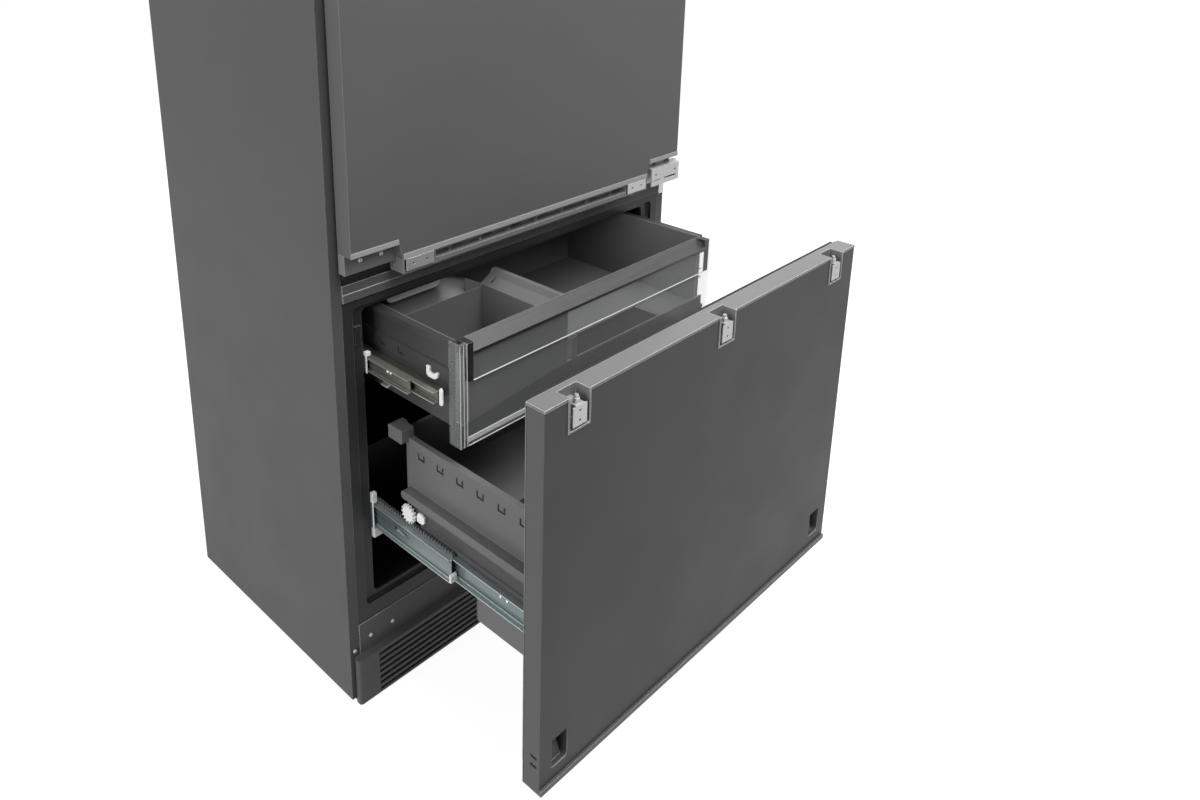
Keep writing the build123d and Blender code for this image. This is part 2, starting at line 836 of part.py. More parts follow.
def gasket(floor, ceiling, margin):
    """Magnetic seal: one square ring that meets the front frame just outside its step."""
    y = (-skin_back + inner_panel, -fit_gap)
    reach = gasket_centre + gasket_width / 2
    hole_z = (floor - frame_land - margin, ceiling + upper_land + margin)
    outer = block(centred(reach), y, (hole_z[0] - gasket_width, hole_z[1] + gasket_width))
    hole = block(centred(reach - gasket_width), (y[0] - 1, y[1] + 1), hole_z)
    return rounded(outer, 6, Axis.Y) - rounded(hole, 4, Axis.Y)


def panel_bracket(x_centre):
    """Steel angle that a furniture panel is screwed to, with its knurled adjuster screw."""
    low = notch_bottom + 4
    arm_z = drawer_top - 18
    plate = block((x_centre - 14.5, x_centre + 14.5), (-panel_front - 2, -panel_front), (low, arm_z))
    arm = block((x_centre - 9, x_centre + 9), (-panel_front - 2, -panel_front + notch_depth), (arm_z, arm_z + 2))
    plate += arm
    for level in (low + 8, low + 23):
        plate -= rod((x_centre, -panel_front, level), 2.2, 20, "Y")
    plate += rod((x_centre, -panel_front + 6, arm_z + 5.5), 5, 7)
    return plate + rod((x_centre, -panel_front + 6, arm_z + 11.5), 3.2, 5)


frame_foot = 31.5  # how far the frame's front foot reaches inwards
gear_boss = 12.0
rib_low = frame_low + 46.0
rib_height = 9.0
rib_proud = 3.3


def drawer_side_frame():
    """Left arm from the drawer front: it carries the basket and the slide's inner member."""
    y = (field_face, frame_rear)
    web = block((-frame_web[1], -frame_web[0]), y, (frame_low, frame_high))
    flange = block((-frame_shelf[1], -frame_shelf[0]), y, (frame_high, frame_high + frame_sheet))
    rib_x = (-frame_web[1] - rib_proud, -frame_web[0] - 1)
    rib = rounded(block(rib_x, (y[0], y[1] - 2), (rib_low, rib_low + rib_height)), 2.5, Axis.Y)
    foot = block((-frame_web[1], -frame_web[0] + frame_foot), (y[0], y[0] + 3), (frame_low, frame_high))
    ear_y = (frame_rear - 2, gear_setback + gear_boss)
    ear = block((-frame_web[1], -frame_web[0]), ear_y, (gear_height - gear_boss, gear_height + gear_boss))
    hole = rod((-frame_web[0], gear_setback, gear_height), shaft_radius + pin_clearance, 30, "X")
    return web + flange + rib + foot + ear - hole


def stabiliser_shaft():
    """Shaft with a white toothed wheel on each end; a tooth gap points down at the rack."""
    step = 360 / gear_teeth
    pitch = 2 * math.pi * gear_pitch_radius / gear_teeth
    root_radius = gear_pitch_radius - tooth_height - root_gap
    tip_radius = gear_pitch_radius + tooth_height
    base = pitch * 0.5
    tip = pitch * 0.2
    outline = Polygon(
        (-base / 2, root_radius - 0.5),
        (base / 2, root_radius - 0.5),
        (tip / 2, tip_radius),
        (-tip / 2, tip_radius),
        align=None,
    )
    tooth = extrude(outline, gear_width / 2, both=True)
    wheel = Cylinder(root_radius, gear_width)
    for index in range(gear_teeth):
        wheel += Rot(0, 0, 180 + step / 2 + index * step) * tooth
    middle = (rack_x[0] + rack_x[1]) / 2
    stand = Pos(middle, gear_setback, gear_height) * Rot(0, 90, 0) * Rot(0, 0, 90) * wheel
    shaft = rod((0, gear_setback, gear_height), shaft_radius, 2 * rack_x[1], "X")
    return shaft + stand + mirrored(stand)


def inner_member(z_centre, height, start):
    """Innermost slide member of the left side, open towards the outside."""
    inner_height = height - 2 * (2 * slide_sheet + 2 * ball_gap)
    web = frame_web[1] + fit_gap
    return channel(-web, -web - slide_reach, (start, slide_length), z_centre, inner_height)


basket_round = 14.0
rim_band = 13.0
ledge_height_side = 16.0
mark_pitch = 50.0


def basket_hollow():
    """Inside of the basket: the shallow part above the stabiliser, and the deep part in front."""
    y = (basket_front + basket_wall, basket_back - basket_wall)
    shallow = block(
        centred(basket_half - basket_wall), y, (basket_floor + basket_wall, basket_rim_top + 25)
    )
    deep = block(
        centred(deep_half - basket_wall),
        (y[0], deep_back - basket_wall),
        (deep_floor + basket_wall, basket_floor + 30),
    )
    return [rounded(part, basket_round - basket_wall) for part in (shallow, deep)]


def basket_mark(centre, side):
    """U-shaped groove in the side of the basket."""
    x = sorted((side * (basket_half + 1), side * (basket_half - 1.2)))
    low = basket_rim_top - 41
    mark = block(x, (centre - 9, centre + 9), (low, low + 14))
    return mark - block(x, (centre - 5, centre + 5), (low + 5, low + 14))


def freezer_basket():
    """Lower bin: a shallow rear part and a deep front part that hangs between the slides."""
    y = (basket_front, basket_back)
    body = rounded(block(centred(basket_half), y, (basket_floor, basket_rim_top)), basket_round)
    deep_z = (deep_floor, basket_floor + 20)
    deep = rounded(block(centred(deep_half), (y[0], deep_back), deep_z), basket_round)
    rim_z = (basket_rim_top - rim_band, basket_rim_top)
    rim = rounded(block(centred(basket_rim_half), (y[0], y[1] + 6), rim_z), basket_round)
    ledge = block(
        (-frame_shelf[1], -basket_half + 1),
        (y[0], basket_back - 15),
        (basket_floor + fit_gap, basket_floor + ledge_height_side),
    )
    ledge = fillet(ledge.edges().filter_by(Axis.X).group_by(Axis.Y)[-1], 7)
    corner = block(
        (-basket_rim_half - 16, -basket_half + 7),
        (basket_back - 28, basket_back + 10),
        (basket_rim_top - 7, basket_rim_top + 19),
    )
    corner = fillet(corner.edges().filter_by(Axis.X), 3)
    solid = body + deep + rim + ledge + mirrored(ledge) + corner + mirrored(corner)
    for part in basket_hollow():
        solid -= part
    for index in range(int((basket_back - basket_front - 50) / mark_pitch) + 1):
        for side in (-1, 1):
            solid -= basket_mark(basket_back - 50 - index * mark_pitch, side)
    return solid


# ================================================================ inner drawer
divider_x = -110.0
deck_front = inner_closed + 207.0  # front edge of the deck
deck_top = bin_rim_top - 30.0
glass_front = inner_closed + 2.0
glass_half = bin_half - bin_side
end_block = 12.0  # dark block at each end of the handle bar
bar_half = glass_half - 2.0 - end_block
bar_low = bin_rim_top - 20.0
bar_top = bin_rim_top + 3.0
bar_thick = 6.0
bar_reach = 24.0
guard_low = bar_low - 46.0
post_foot = glass_bottom - 6.0
post_top = bar_top + 1.0
post_depth = 28.0
ribbed_height = 12.0
window_left = divider_x + 20.0
window_sill = bin_bottom + 30.0
jamb_width = 28.0  # the window is narrower by this in its lower part
jamb_top = bin_rim_top - 80.0
side_step = 3.0  # the lower half of the bin's sides stands this far out
tray_left = divider_x + 48.0
tray_width = 252.0


def l_mark(centre, side):
    """L-shaped groove in the side of the bin."""
    x = sorted((side * (bin_half + side_step + 1), side * (bin_half + side_step - 1.5)))
    low = bin_rim_top - 66
    upright = block(x, (centre + 5, centre + 8), (low, low + 11))
    return upright + block(x, (centre - 8, centre + 8), (low, low + 3))


def bin_side_band():
    """Thicker band along the bin's left side, above the slide, with two grooves."""
    y = (inner_closed + post_depth + 2, inner_closed + bin_depth - 6)
    band = block((-bin_half - side_step, -bin_half + 1), y, (bin_rim_top - 74, bin_rim_top - 46))
    top = band.edges().filter_by(Axis.Y).group_by(Axis.Z)[-1].group_by(Axis.X)[0]
    band = chamfer(top, 2.5)
    for centre in (inner_closed + 154, inner_closed + 204):
        band -= l_mark(centre, -1)
    return band


def window_jamb(front):
    """Grooved upright at the left of the window's lower part."""
    z = (window_sill - 1, jamb_top)
    upright = block((window_left - 1, window_left + jamb_width), (front, front + bin_wall), z)
    return upright - block((window_left + 1, window_left + 12), (0, front + 2), (window_sill, jamb_top - 3))


def inner_bin():
    """Grey moulded bin; a lowered deck closes the rear of its left part, below the lamp."""
    y = (inner_closed + 6, inner_closed + bin_depth)
    z = (bin_bottom, bin_rim_top)
    body = rounded(block(centred(bin_half), y, z), 10)
    body += rounded(block(centred(bin_half + 4), y, (bin_rim_top - 9, bin_rim_top)), 10)
    above = bin_rim_top + 5
    left_x = (-bin_half + bin_side, divider_x - 1.5)
    right_x = (divider_x - 1.5, bin_half - bin_side)
    inside_y = (y[0] + bin_wall, y[1] - bin_wall)
    floor_z = bin_bottom + bin_wall
    left = block(left_x, (inside_y[0], deck_front), (floor_z, above))
    right = block(right_x, inside_y, (floor_z, above))
    rear_step = block(left_x, inside_y, (deck_top, above))
    under_y = (deck_front + bin_wall, inside_y[1])
    under = block((left_x[0], left_x[1] - bin_wall), under_y, (bin_bottom - 5, deck_top - bin_wall))
    body = body - left - right - rear_step - under
    body -= block((window_left, bin_half - bin_side), (0, y[0] + 10), (window_sill, above))
    body += window_jamb(y[0])
    behind_bar = block(centred(bin_half + 9), (0, inner_closed + bar_reach + 4), (bar_low - 4, above))
    corner = block(
        (-bin_half - 9, -glass_half), (0, inner_closed + post_depth + fit_gap), (0, cabinet_height)
    )
    shadow_gap = block((-glass_half - 1, -glass_half + 8), (0, inner_closed + 16), (bin_bottom + 7, guard_low))
    band = bin_side_band()
    body = body + band + mirrored(band)
    for cut in (corner, shadow_gap):
        body = body - cut - mirrored(cut)
    apron = block(centred(glass_half - 2), (y[0], y[0] + bin_wall), (glass_bottom + 1, bin_bottom + 1))
    return body - behind_bar + apron


cap_width = 30.0
cap_drop = 23.0  # from the ridge to the foot of the slope
cap_bend = (22.0, 11.0)  # where the slope turns steeper: along from the wall, down from the ridge
ridge_width = 9.0
shoulder = 40.0  # how far the divider's rear end reaches to the left


def bin_divider():
    """Lift-out divider: a wall with a sloped cap and a ridge; its rear end rises again to the left."""
    low = bin_bottom + bin_wall
    front = inner_closed + bar_reach + 6
    back = inner_closed + bin_depth - bin_wall - fit_gap
    cap_back = deck_front + 5
    top = bin_rim_top - 3
    left = divider_x - 1.2
    ridge = (divider_x + cap_width, divider_x + cap_width + ridge_width)
    bend_x = divider_x + cap_bend[0]
    wall = block((left, divider_x + 1.8), (front, back), (low, deck_top - 3))
    wall += block((left, divider_x + 1.8), (front, cap_back), (low, top - cap_drop))
    outline = Plane.XZ * Polygon(
        (left, top - cap_drop - 3),
        (bend_x + 1.5, top - cap_bend[1] - 3),
        (ridge[0] + 2, top - 3),
        (ridge[1] - 2, top - 3),
        (ridge[1] - 2, top - cap_drop),
        (ridge[1], top - cap_drop),
        (ridge[1], top),
        (ridge[0], top),
        (bend_x, top - cap_bend[1]),
        (left, top - cap_drop),
        align=None,
    )
    cap = Pos(0, front, 0) * extrude(outline, -(cap_back - front))
    slot = block((divider_x + 6, bend_x - 2), (cap_back - 22, cap_back - 17), (0, cabinet_height))
    end = Plane.XZ * Polygon(
        (left - shoulder, deck_top + fit_gap),
        (left + 1, deck_top + fit_gap),
        (left + 1, top - cap_drop),
        (left - 0.3 * shoulder, top - 0.7 * cap_drop),
        (left - shoulder, top),
        align=None,
    )
    rear_end = Pos(0, cap_back - 3, 0) * extrude(end, -3)
    return wall + (cap - slot) + rear_end


def quick_tray():
    """Dark glossy freezing plate on the floor of the right part, against the glass."""
    low = bin_bottom + bin_wall
    x = (tray_left, tray_left + tray_width)
    plate = block(x, (inner_closed + 10, inner_closed + 72), (low + 18, low + 23))
    feet = [
        block((middle - 5, middle + 5), (inner_closed + 18, inner_closed + 62), (low, low + 18))
        for middle in (x[0] + 12, x[1] - 12)
    ]
    return rounded(plate, 3) + feet


def inner_front_glass():
    """Clear pane of the inner drawer with its lower strips, front guard and two end posts."""
    pane_z = (glass_bottom, bar_low - fit_gap)
    pane = block(centred(glass_half), (glass_front, glass_front + glass_sheet), pane_z)
    guard = block(centred(bar_half), (inner_closed, glass_front), (guard_low, bar_low - fit_gap))
    strip = block(centred(glass_half), (inner_closed, inner_closed + 9), (post_foot, glass_bottom))
    ribbed_z = (glass_bottom, glass_bottom + ribbed_height)
    ribbed = block(centred(glass_half - 6), (glass_front - 1, glass_front), ribbed_z)
    outer = -bin_half - 4
    back = inner_closed + post_depth
    post = block((outer, -glass_half), (inner_closed, inner_closed + 6), (post_foot, post_top))
    wing = block((outer, outer + 3), (inner_closed + 6, back), (post_foot, post_top))
    upright = post + wing
    return pane + guard + strip + ribbed + upright + mirrored(upright)


def handle_end():
    """Dark block at the left end of the handle bar, reaching down beside the guard."""
    x = (-glass_half + fit_gap, -bar_half - fit_gap)
    upper = block(x, (inner_closed, inner_closed + bar_reach), (bar_low, bar_top))
    lower = block(x, (inner_closed, glass_front), (guard_low, bar_low))
    joint = block((x[0] + 2, -bar_half + 2), (inner_closed + 10, inner_closed + 20), (bar_low + 12, bar_low + 15))
    return upper + lower + joint


def inner_handle_bar():
    """Brushed dark bar along the top of the glass, sloped towards the user, with its end blocks."""
    profile = Plane.YZ * Polygon(
        (inner_closed - 1, bar_low),
        (inner_closed + 8, bar_low),
        (inner_closed + bar_reach, bar_top - bar_thick),
        (inner_closed + bar_reach, bar_top),
        (inner_closed - 1, bar_low + bar_thick),
        align=None,
    )
    bar = Pos(-bar_half, 0, 0) * extrude(profile, 2 * bar_half)
    end = handle_end()
    return bar + end + mirrored(end)


def upper_inner_slide():
    """Inner slide member of the upper drawer with the steel ledge that the bin stands on."""
    member = inner_member(upper_slide_z, upper_slide_height, inner_closed + 40)
    ledge = block(
        (-frame_web[1] - fit_gap, -bin_half - fit_gap),
        (inner_closed + 44, slide_length - 35),
        (upper_slide_z - 8, upper_slide_z + 8),
    )
    return member + ledge


# ================================================================ fridge door
def door_outline(low_margin):
    """Front outline of the door with its two lower corner notches."""
    slant = notch_slant
    edge = door_half - low_margin
    low = door_bottom + low_margin
    step = notch_top + low_margin
    top = door_top - low_margin
    points = [
        (-edge, step),
        (-notch_side - slant + low_margin, step),
        (-notch_side + low_margin, low),
        (notch_side - low_margin, low),
        (notch_side + slant - low_margin, step),
        (edge, step),
        (edge, top),
        (-edge, top),
    ]
    return Plane.XZ * Polygon(*points, align=None)


def door_solid(margin, y):
    """Door outline pushed between two depths."""
    blank = extrude(door_outline(margin), -(y[1] - y[0]))
    return Pos(0, y[0], 0) * blank


def door_skin():
    """Folded steel face of the fridge door, with the raised bead along its foot."""
    outer = door_solid(0.0, (-panel_front, -skin_back))
    shell = outer - door_solid(door_sheet, (-panel_front + door_sheet, 0))
    bead_y = (-panel_front - 1.5, -panel_front)
    middle = block(centred(notch_side - 1), bead_y, (door_bottom, door_bottom + 10))
    side = block((-door_half, -notch_side - notch_slant - 1), bead_y, (notch_top, notch_top + 9))
    return shell + middle + side + mirrored(side)


def door_foam():
    return door_solid(door_sheet, (-panel_front + door_sheet, -skin_back))


channel_half = notch_side - 72.0
seat_inset = (3.0, 70.0)  # edges of the bracket seats from the notch
lip_top = end_cap_bottom + 11.0
cell_pitch = 74.0


def cap_channel():
    """Open channel below the middle of the door, kept stiff by cross ribs and deeper cells."""
    z = (lip_top, door_bottom - 3)
    space = block(centred(channel_half), (-panel_front - 1, -28), z)
    count = int(channel_half / cell_pitch)
    for index in range(-count, count + 1):
        centre = index * cell_pitch
        space -= block((centre - 1.5, centre + 1.5), (-panel_front + 8, -20), z)
        space += block((centre + 14, centre + 40), (-30, -14), (z[0] + 1, z[1] - 1))
    return space


def door_bottom_cap():
    """Moulded end cap: a channel below the middle of the door, recess plates in the notches."""
    middle = block(centred(notch_side), (-panel_front, -skin_back), (end_cap_bottom, door_bottom))
    middle -= cap_channel()
    for side in (-1, 1):
        seat = sorted(side * (notch_side - inset) for inset in seat_inset)
        middle -= block(seat, (-panel_front - 1, -panel_front + 10), (end_cap_bottom + 3, door_bottom + 1))
    outline = Plane.XZ * Polygon(
        (-door_half, notch_floor),
        (-notch_side, notch_floor),
        (-notch_side, door_bottom),
        (-notch_side - notch_slant, notch_top),
        (-door_half, notch_top),
        align=None,
    )
    cheek = Pos(0, -recess_face, 0) * extrude(outline, skin_back - recess_face)
    lip = block(centred(channel_half - 10), (-panel_front - 2, -panel_front), (end_cap_bottom + 2, lip_top))
    right = mirrored(cheek) - rod((hinge_x, hinge_y, notch_floor), barrel_radius + 2, 200)
    return middle + lip + cheek + right


def door_panel_brackets():
    """Two satin steel angles that the furniture panel of the door is screwed to."""
    plates = []
    low = end_cap_bottom + 4
    centre = notch_side - sum(seat_inset) / 2
    reach = (seat_inset[1] - seat_inset[0]) / 2 - 3
    for side in (-1, 1):
        x = (side * centre - reach, side * centre + reach)
        plate = block(x, (-panel_front - 2, -panel_front), (low, door_bottom))
        arm = block(x, (-panel_front, -panel_front + 10 - fit_gap), (low, low + 2))
        bracket = plate + arm
        for shift in (-15, 15):
            bracket -= rod((side * centre + shift, -panel_front, low + 11), 2.2, 20, "Y")
        plates.append(bracket)
    return plates


dyke_half = opening_half - 16.0
dyke_wall = 3.0
dyke_low = fridge_floor + 16.0
dyke_high = fridge_ceiling - 16.0
dyke_depth = 48.0
door_bin_depth = 95.0
door_bin_height = 96.0
door_bin_pitch = 279.0
door_bin_first = dyke_low + 18.0
door_bin_count = int((dyke_high - door_bin_height - door_bin_first) / door_bin_pitch) + 1
door_bin_levels = [door_bin_first + door_bin_pitch * row for row in range(door_bin_count)]
stud_height = 6.0


def door_inner_panel():
    """Moulded inside of the door: a sheet, and the raised frame on it with the studs for the bins."""
    y = (-skin_back, -skin_back + inner_panel)
    panel = block(centred(door_half - 4), y, (notch_top + 4, door_top - 4))
    panel += block(centred(notch_side - 4), y, (end_cap_bottom + 4, notch_top + 10))
    panel += block(centred(door_half - 4), y, (notch_floor + 2, notch_top + 10))
    frame = block(centred(dyke_half), (y[1], dyke_depth), (dyke_low, dyke_high))
    hole_z = (dyke_low + dyke_wall, dyke_high - dyke_wall)
    frame -= block(centred(dyke_half - dyke_wall), (y[0], dyke_depth + 10), hole_z)
    for level in door_bin_levels:
        stud_x = (-dyke_half + dyke_wall, -dyke_half + dyke_wall + 5)
        stud = block(stud_x, (14, 30), (level - stud_height - fit_gap, level - fit_gap))
        frame += stud
        frame += mirrored(stud)
    return panel, frame


def door_bins():
    """Clear door bins, each hung between the sides of the raised frame."""
    reach = dyke_half - dyke_wall - fit_gap
    y = (-skin_back + inner_panel + fit_gap, door_bin_depth)
    return [tray(centred(reach), y, (level, level + door_bin_height), 3.0, 8) for level in door_bin_levels]


def hinge_rod(radius, low, high):
    """Round bar on the door's pivot axis."""
    return rod((hinge_x, hinge_y, (low + high) / 2), radius, high - low)


def cabinet_hinges():
    """Brackets on the right flange, each a foot, an ear and the pin that the door turns on."""
    ear_x = (hinge_x - 9, hinge_x + 8)
    ear_y = (hinge_y - 10, 0)
    foot = (frame_half + 2, frame_half + 19)
    low_foot = block(foot, (-3, 0), (ear_bottom - 42, barrel_top + 23))
    low_ear = block(ear_x, ear_y, (ear_bottom, ear_bottom + ear_sheet))
    low_pin = hinge_rod(pin_radius, ear_bottom, barrel_top - 2)
    high = cabinet_height - ear_sheet
    high_foot = block(foot, (-3, 0), (cabinet_height - 74, cabinet_height))
    high_ear = block(ear_x, ear_y, (high, cabinet_height))
    high_pin = hinge_rod(pin_radius, door_top - 36, high + 1)
    return [low_foot + low_ear + low_pin, high_foot + high_ear + high_pin]


def door_hinge_lower():
    """Folded steel leaf in the right notch: channel, two screwed tabs and the pin's barrel."""
    z = (barrel_bottom, barrel_top)
    end = door_half
    arm = block((notch_side + 9, end), (-panel_front - 6, -recess_face - fit_gap), z)
    arm -= block((notch_side + 5, end - 6), (-panel_front - 3, -recess_face - 3), (z[0] - 1, z[1] - 2.5))
    slot_y = (-panel_front - 10, -panel_front)
    for left, right in ((notch_side + 16, notch_side + 40), (notch_side + 52, end - 10)):
        arm -= rounded(block((left, right), slot_y, (z[0] + 10, z[0] + 14)), 1.9, Axis.Y)
    for x in (notch_side + 24, end - 14):
        arm -= rod((x, -panel_front, z[0] + 25), 2.6, 20, "Y")
    leaf = arm + hinge_rod(barrel_radius, z[0], z[1])
    for x in (notch_side + 11, notch_side + 52):
        tab = block((x, x + 28), (-recess_face - 2, -recess_face - fit_gap), (z[1] - 3, notch_top - fit_gap))
        tab += rod((x + 14, -recess_face - 2.5, notch_top - 6), 3.5, 2, "Y")
        leaf += tab
    return leaf - hinge_rod(pin_radius + pin_clearance, z[0] - 1, z[1] + 1)


def door_hinge_upper():
    """Steel leaf on the door's top corner with the bush for the upper pin."""
    z = (door_top - 38, door_top)
    barrel = hinge_rod(barrel_radius, z[0], z[1])
    plate = block((door_half, door_half + 2), (-panel_front, -12), z)
    bore = hinge_rod(pin_radius + pin_clearance, z[0] - 1, z[1] + 1)
    return barrel + plate - bore - block((0, door_half), (-60, 0), (z[0] - 1, z[1] + 1))


# ================================================================ fridge compartment
shelf_first = fridge_floor + 392.0
shelf_pitch = 235.0
shelf_count = int((fridge_ceiling - 150 - shelf_first) / shelf_pitch) + 1
shelf_levels = [shelf_first + shelf_pitch * row for row in range(shelf_count)]
shelf_front = 130.0
shelf_back = fridge_depth - 17.0
shelf_half = opening_half - 0.5
glass_thick = 5.0
frame_bar = 20.0
glass_seat = 8.0
ledge_width = 10.0
ledge_height = 4.0

crisper_top = fridge_floor + 164.0
crisper_low = fridge_floor + 14.0
crisper_front = 130.0
crisper_back = shelf_back - 10.0
crisper_inside = 8.0
crisper_outside = opening_half - 22.0
flange_thick = 3.0
runner_top = crisper_top - flange_thick - fit_gap
cover_level = crisper_top + 19.0


def shelf_pane(level):
    """Glass plate of a shelf."""
    x = centred(shelf_half - glass_seat)
    return block(x, (shelf_front + glass_seat, shelf_back - glass_seat), (level, level + glass_thick))


def shelf_frame(level):
    """Moulded frame with a rebate that the glass lies in."""
    outer = block(centred(shelf_half), (shelf_front, shelf_back), (level - 5, level + glass_thick + 2))
    hole = block(
        centred(shelf_half - frame_bar),
        (shelf_front + frame_bar, shelf_back - frame_bar),
        (level - 10, level + 20),
    )
    rebate = block(
        centred(shelf_half - glass_seat),
        (shelf_front + glass_seat, shelf_back - glass_seat),
        (level, level + 20),
    )
    return outer - hole - rebate


def crisper_cover():
    """Shelf frame over the crispers, with the T-shaped hanger between them."""
    stem = block(centred(2), (shelf_front, shelf_back), (runner_top, cover_level))
    foot = block(
        centred(crisper_inside + 5), (shelf_front + 4, shelf_back), (runner_top - flange_thick, runner_top)
    )
    return shelf_frame(cover_level) + stem + foot


def wall_ledges():
    """Ledges moulded in the liner's left wall for the shelves, the cover and a crisper."""
    ledges = []
    for level in (*shelf_levels, cover_level):
        top = level - 5 - fit_gap
        ledges.append(
            block(
                (-opening_half - 1, -opening_half + ledge_width),
                (shelf_front, shelf_back),
                (top - ledge_height, top),
            )
        )
    ledges.append(
        block(
            (-opening_half - 1, -crisper_outside - 2),
            (shelf_front + 4, shelf_back),
            (runner_top - flange_thick, runner_top),
        )
    )
    return ledges


duct_low = cover_level + 49.0
duct_high = fridge_ceiling - 44.0
vent_first = duct_low + 100.0
vent_pitch = 210.0
vent_height = 12.0


def air_duct():
    """Duct in the rear wall with pairs of air vents."""
    body = block(centred(110), (fridge_depth - 14, fridge_depth), (duct_low, duct_high))
    body = fillet(body.edges().filter_by(Axis.Z).group_by(Axis.Y)[0], 8)
    for row in range(int((duct_high - vent_height - vent_first) / vent_pitch) + 1):
        low = vent_first + row * vent_pitch
        for side in (-1, 1):
            x = sorted((side * 40, side * 90))
            body -= block(x, (fridge_depth - 20, fridge_depth - 8), (low, low + vent_height))
    return body


def fridge_liner():
    """Upper tub with its moulded ledges and air duct."""
    tub = liner(fridge_floor, fridge_ceiling, fridge_depth)[1]
    for ledge in wall_ledges():
        tub += ledge
        tub += mirrored(ledge)
    return tub + air_duct()


def control_panel():
    """Ceiling housing with the touch strip and the lamp lens."""
    body = block(centred(170), (30, 110), (fridge_ceiling - 14, fridge_ceiling))
    return fillet(body.edges().filter_by(Axis.Y).group_by(Axis.Z)[0], 5)


def lamp_lenses():
    """Lamp lenses: the freezer's under its ceiling, the fridge's on ceiling and side walls."""
    lamp_x = (-opening_half + 88, -opening_half + 218)
    freezer = block(lamp_x, (52, 94), (freezer_ceiling - 36, freezer_ceiling))
    freezer = fillet(freezer.edges().filter_by(Axis.Y).group_by(Axis.Z)[0], 14)
    ceiling = block(centred(150), (130, 190), (fridge_ceiling - 5, fridge_ceiling))
    side_z = (fridge_ceiling - 584, fridge_ceiling - 184)
    side = block((-opening_half, -opening_half + 4), (70, 100), side_z)
    return [freezer, ceiling] + both_sides(side)


def crisper(side):
    """Clear crisper drawer; its side flanges lie on the runners."""
    x = sorted((side * (crisper_inside + 6), side * (crisper_outside - 6)))
    drawer = tray(x, (crisper_front, crisper_back), (crisper_low, crisper_top), 2.5, 8)
    inner_edge = sorted((side * (crisper_inside - 4), side * (crisper_inside + 7)))
    outer_edge = sorted((side * (crisper_outside - 7), side * (crisper_outside + 12)))
    flange_z = (crisper_top - flange_thick, crisper_top)
    for edge in (inner_edge, outer_edge):
        drawer += block(edge, (crisper_front + 6, crisper_back), flange_z)
    grip_z = (crisper_top - 26, crisper_top - 18)
    return drawer + block((x[0] + 40, x[1] - 40), (crisper_front - 10, crisper_front), grip_z)


# ================================================================ write the nodes
save("cabinet_wrapper", *both_sides(side_sheet()), roof_sheet())
save("rear_panels", back_panel(), machine_cover())
save("machine_decks", bottom_deck(), base_pan())
save("front_frame", front_frame())
save("front_rails", mullion_rail(), lower_front_plate(), *front_screws())
save("kick_grille", kick_grille())
save("cabinet_foam", cabinet_foam())
save("freezer_liner", liner(freezer_floor, freezer_ceiling, freezer_depth, (step_front, step_top))[1])
save("fridge_liner", fridge_liner())
save("floor_supports", *front_feet(), *roller_forks())
save("rear_roller_left", rear_roller(-1))
save("rear_roller_right", rear_roller(1))
save("compressor", compressor())
save("compressor_grommets", *compressor_grommets())
save("condenser", condenser())
save("fan_motors", condenser_fan_frame(), evaporator_fan_motor())
save("condenser_fan", fan_blades(fan_x, fan_y, fan_level, fan_radius))
save("drain_pan", *drain_pan())
save("power_inlet", power_inlet())
save("evaporator_cover", evaporator_cover())
save("evaporator", evaporator())
save("evaporator_fan", fan_blades(0, evaporator_fan_y, evaporator_fan_z, evaporator_fan_radius))
save("lamp_lenses", *lamp_lenses())
save("control_panel", control_panel())
save("slides_outer", *outer_slides())
save("slide_brackets", *slide_brackets())
save("shelf_glass", *[shelf_pane(level) for level in (*shelf_levels, cover_level)])
save("shelf_frames", *[shelf_frame(level) for level in shelf_levels], crisper_cover())
save("cabinet_hinges", *cabinet_hinges())

lower_middle = middle_member(lower_slide_z, lower_slide_height)
upper_middle = middle_member(upper_slide_z, upper_slide_height)
save("lower_slide_middles", *both_sides(half_pulled(lower_middle)))
save("slide_racks", *both_sides(half_pulled(slide_rack())))
save("upper_slide_middles", *both_sides(inner_half_pulled(upper_middle)))

save("drawer_skin", pulled(drawer_skin()))
save("drawer_foam", pulled(drawer_foam()))
save("drawer_top_cap", pulled(drawer_top_cap()))
save("drawer_sockets", *[pulled(drawer_socket(side)) for side in (-1, 1)])
save("drawer_bottom_trim", pulled(drawer_bottom_trim()))
save("drawer_inner_panel", pulled(drawer_inner_panel()))
save("drawer_gasket", pulled(gasket(freezer_floor, freezer_ceiling, 0.0)))
save("drawer_panel_brackets", *[pulled(panel_bracket(x)) for x in notch_centres])
save("drawer_side_frames", *both_sides(pulled(drawer_side_frame())))
save("lower_slide_inners", *both_sides(pulled(inner_member(lower_slide_z, lower_slide_height, field_face))))
save("freezer_basket", pulled(freezer_basket()))
save("stabiliser_shaft", pulled(stabiliser_shaft()))

save("inner_bin", inner_pulled(inner_bin()))
save("bin_divider", inner_pulled(bin_divider()))
save("quick_tray", inner_pulled(quick_tray()))
save("inner_front_glass", inner_pulled(inner_front_glass()))
save("inner_handle_bar", inner_pulled(inner_handle_bar()))
save("upper_slide_inners", *both_sides(inner_pulled(upper_inner_slide())))

save("door_skin", door_skin())
save("door_foam", door_foam())
save("door_bottom_cap", door_bottom_cap())
save("door_panel_brackets", *door_panel_brackets())
save("door_inner_panel", *door_inner_panel())
save("door_gasket", gasket(fridge_floor, fridge_ceiling, gasket_margin))
save("door_bins", *door_bins())
save("door_hinges", door_hinge_lower(), door_hinge_upper())
save("crisper_left", crisper(-1))
save("crisper_right", crisper(1))
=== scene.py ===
import math
import bpy
import numpy as np
from mathutils import Matrix, Vector


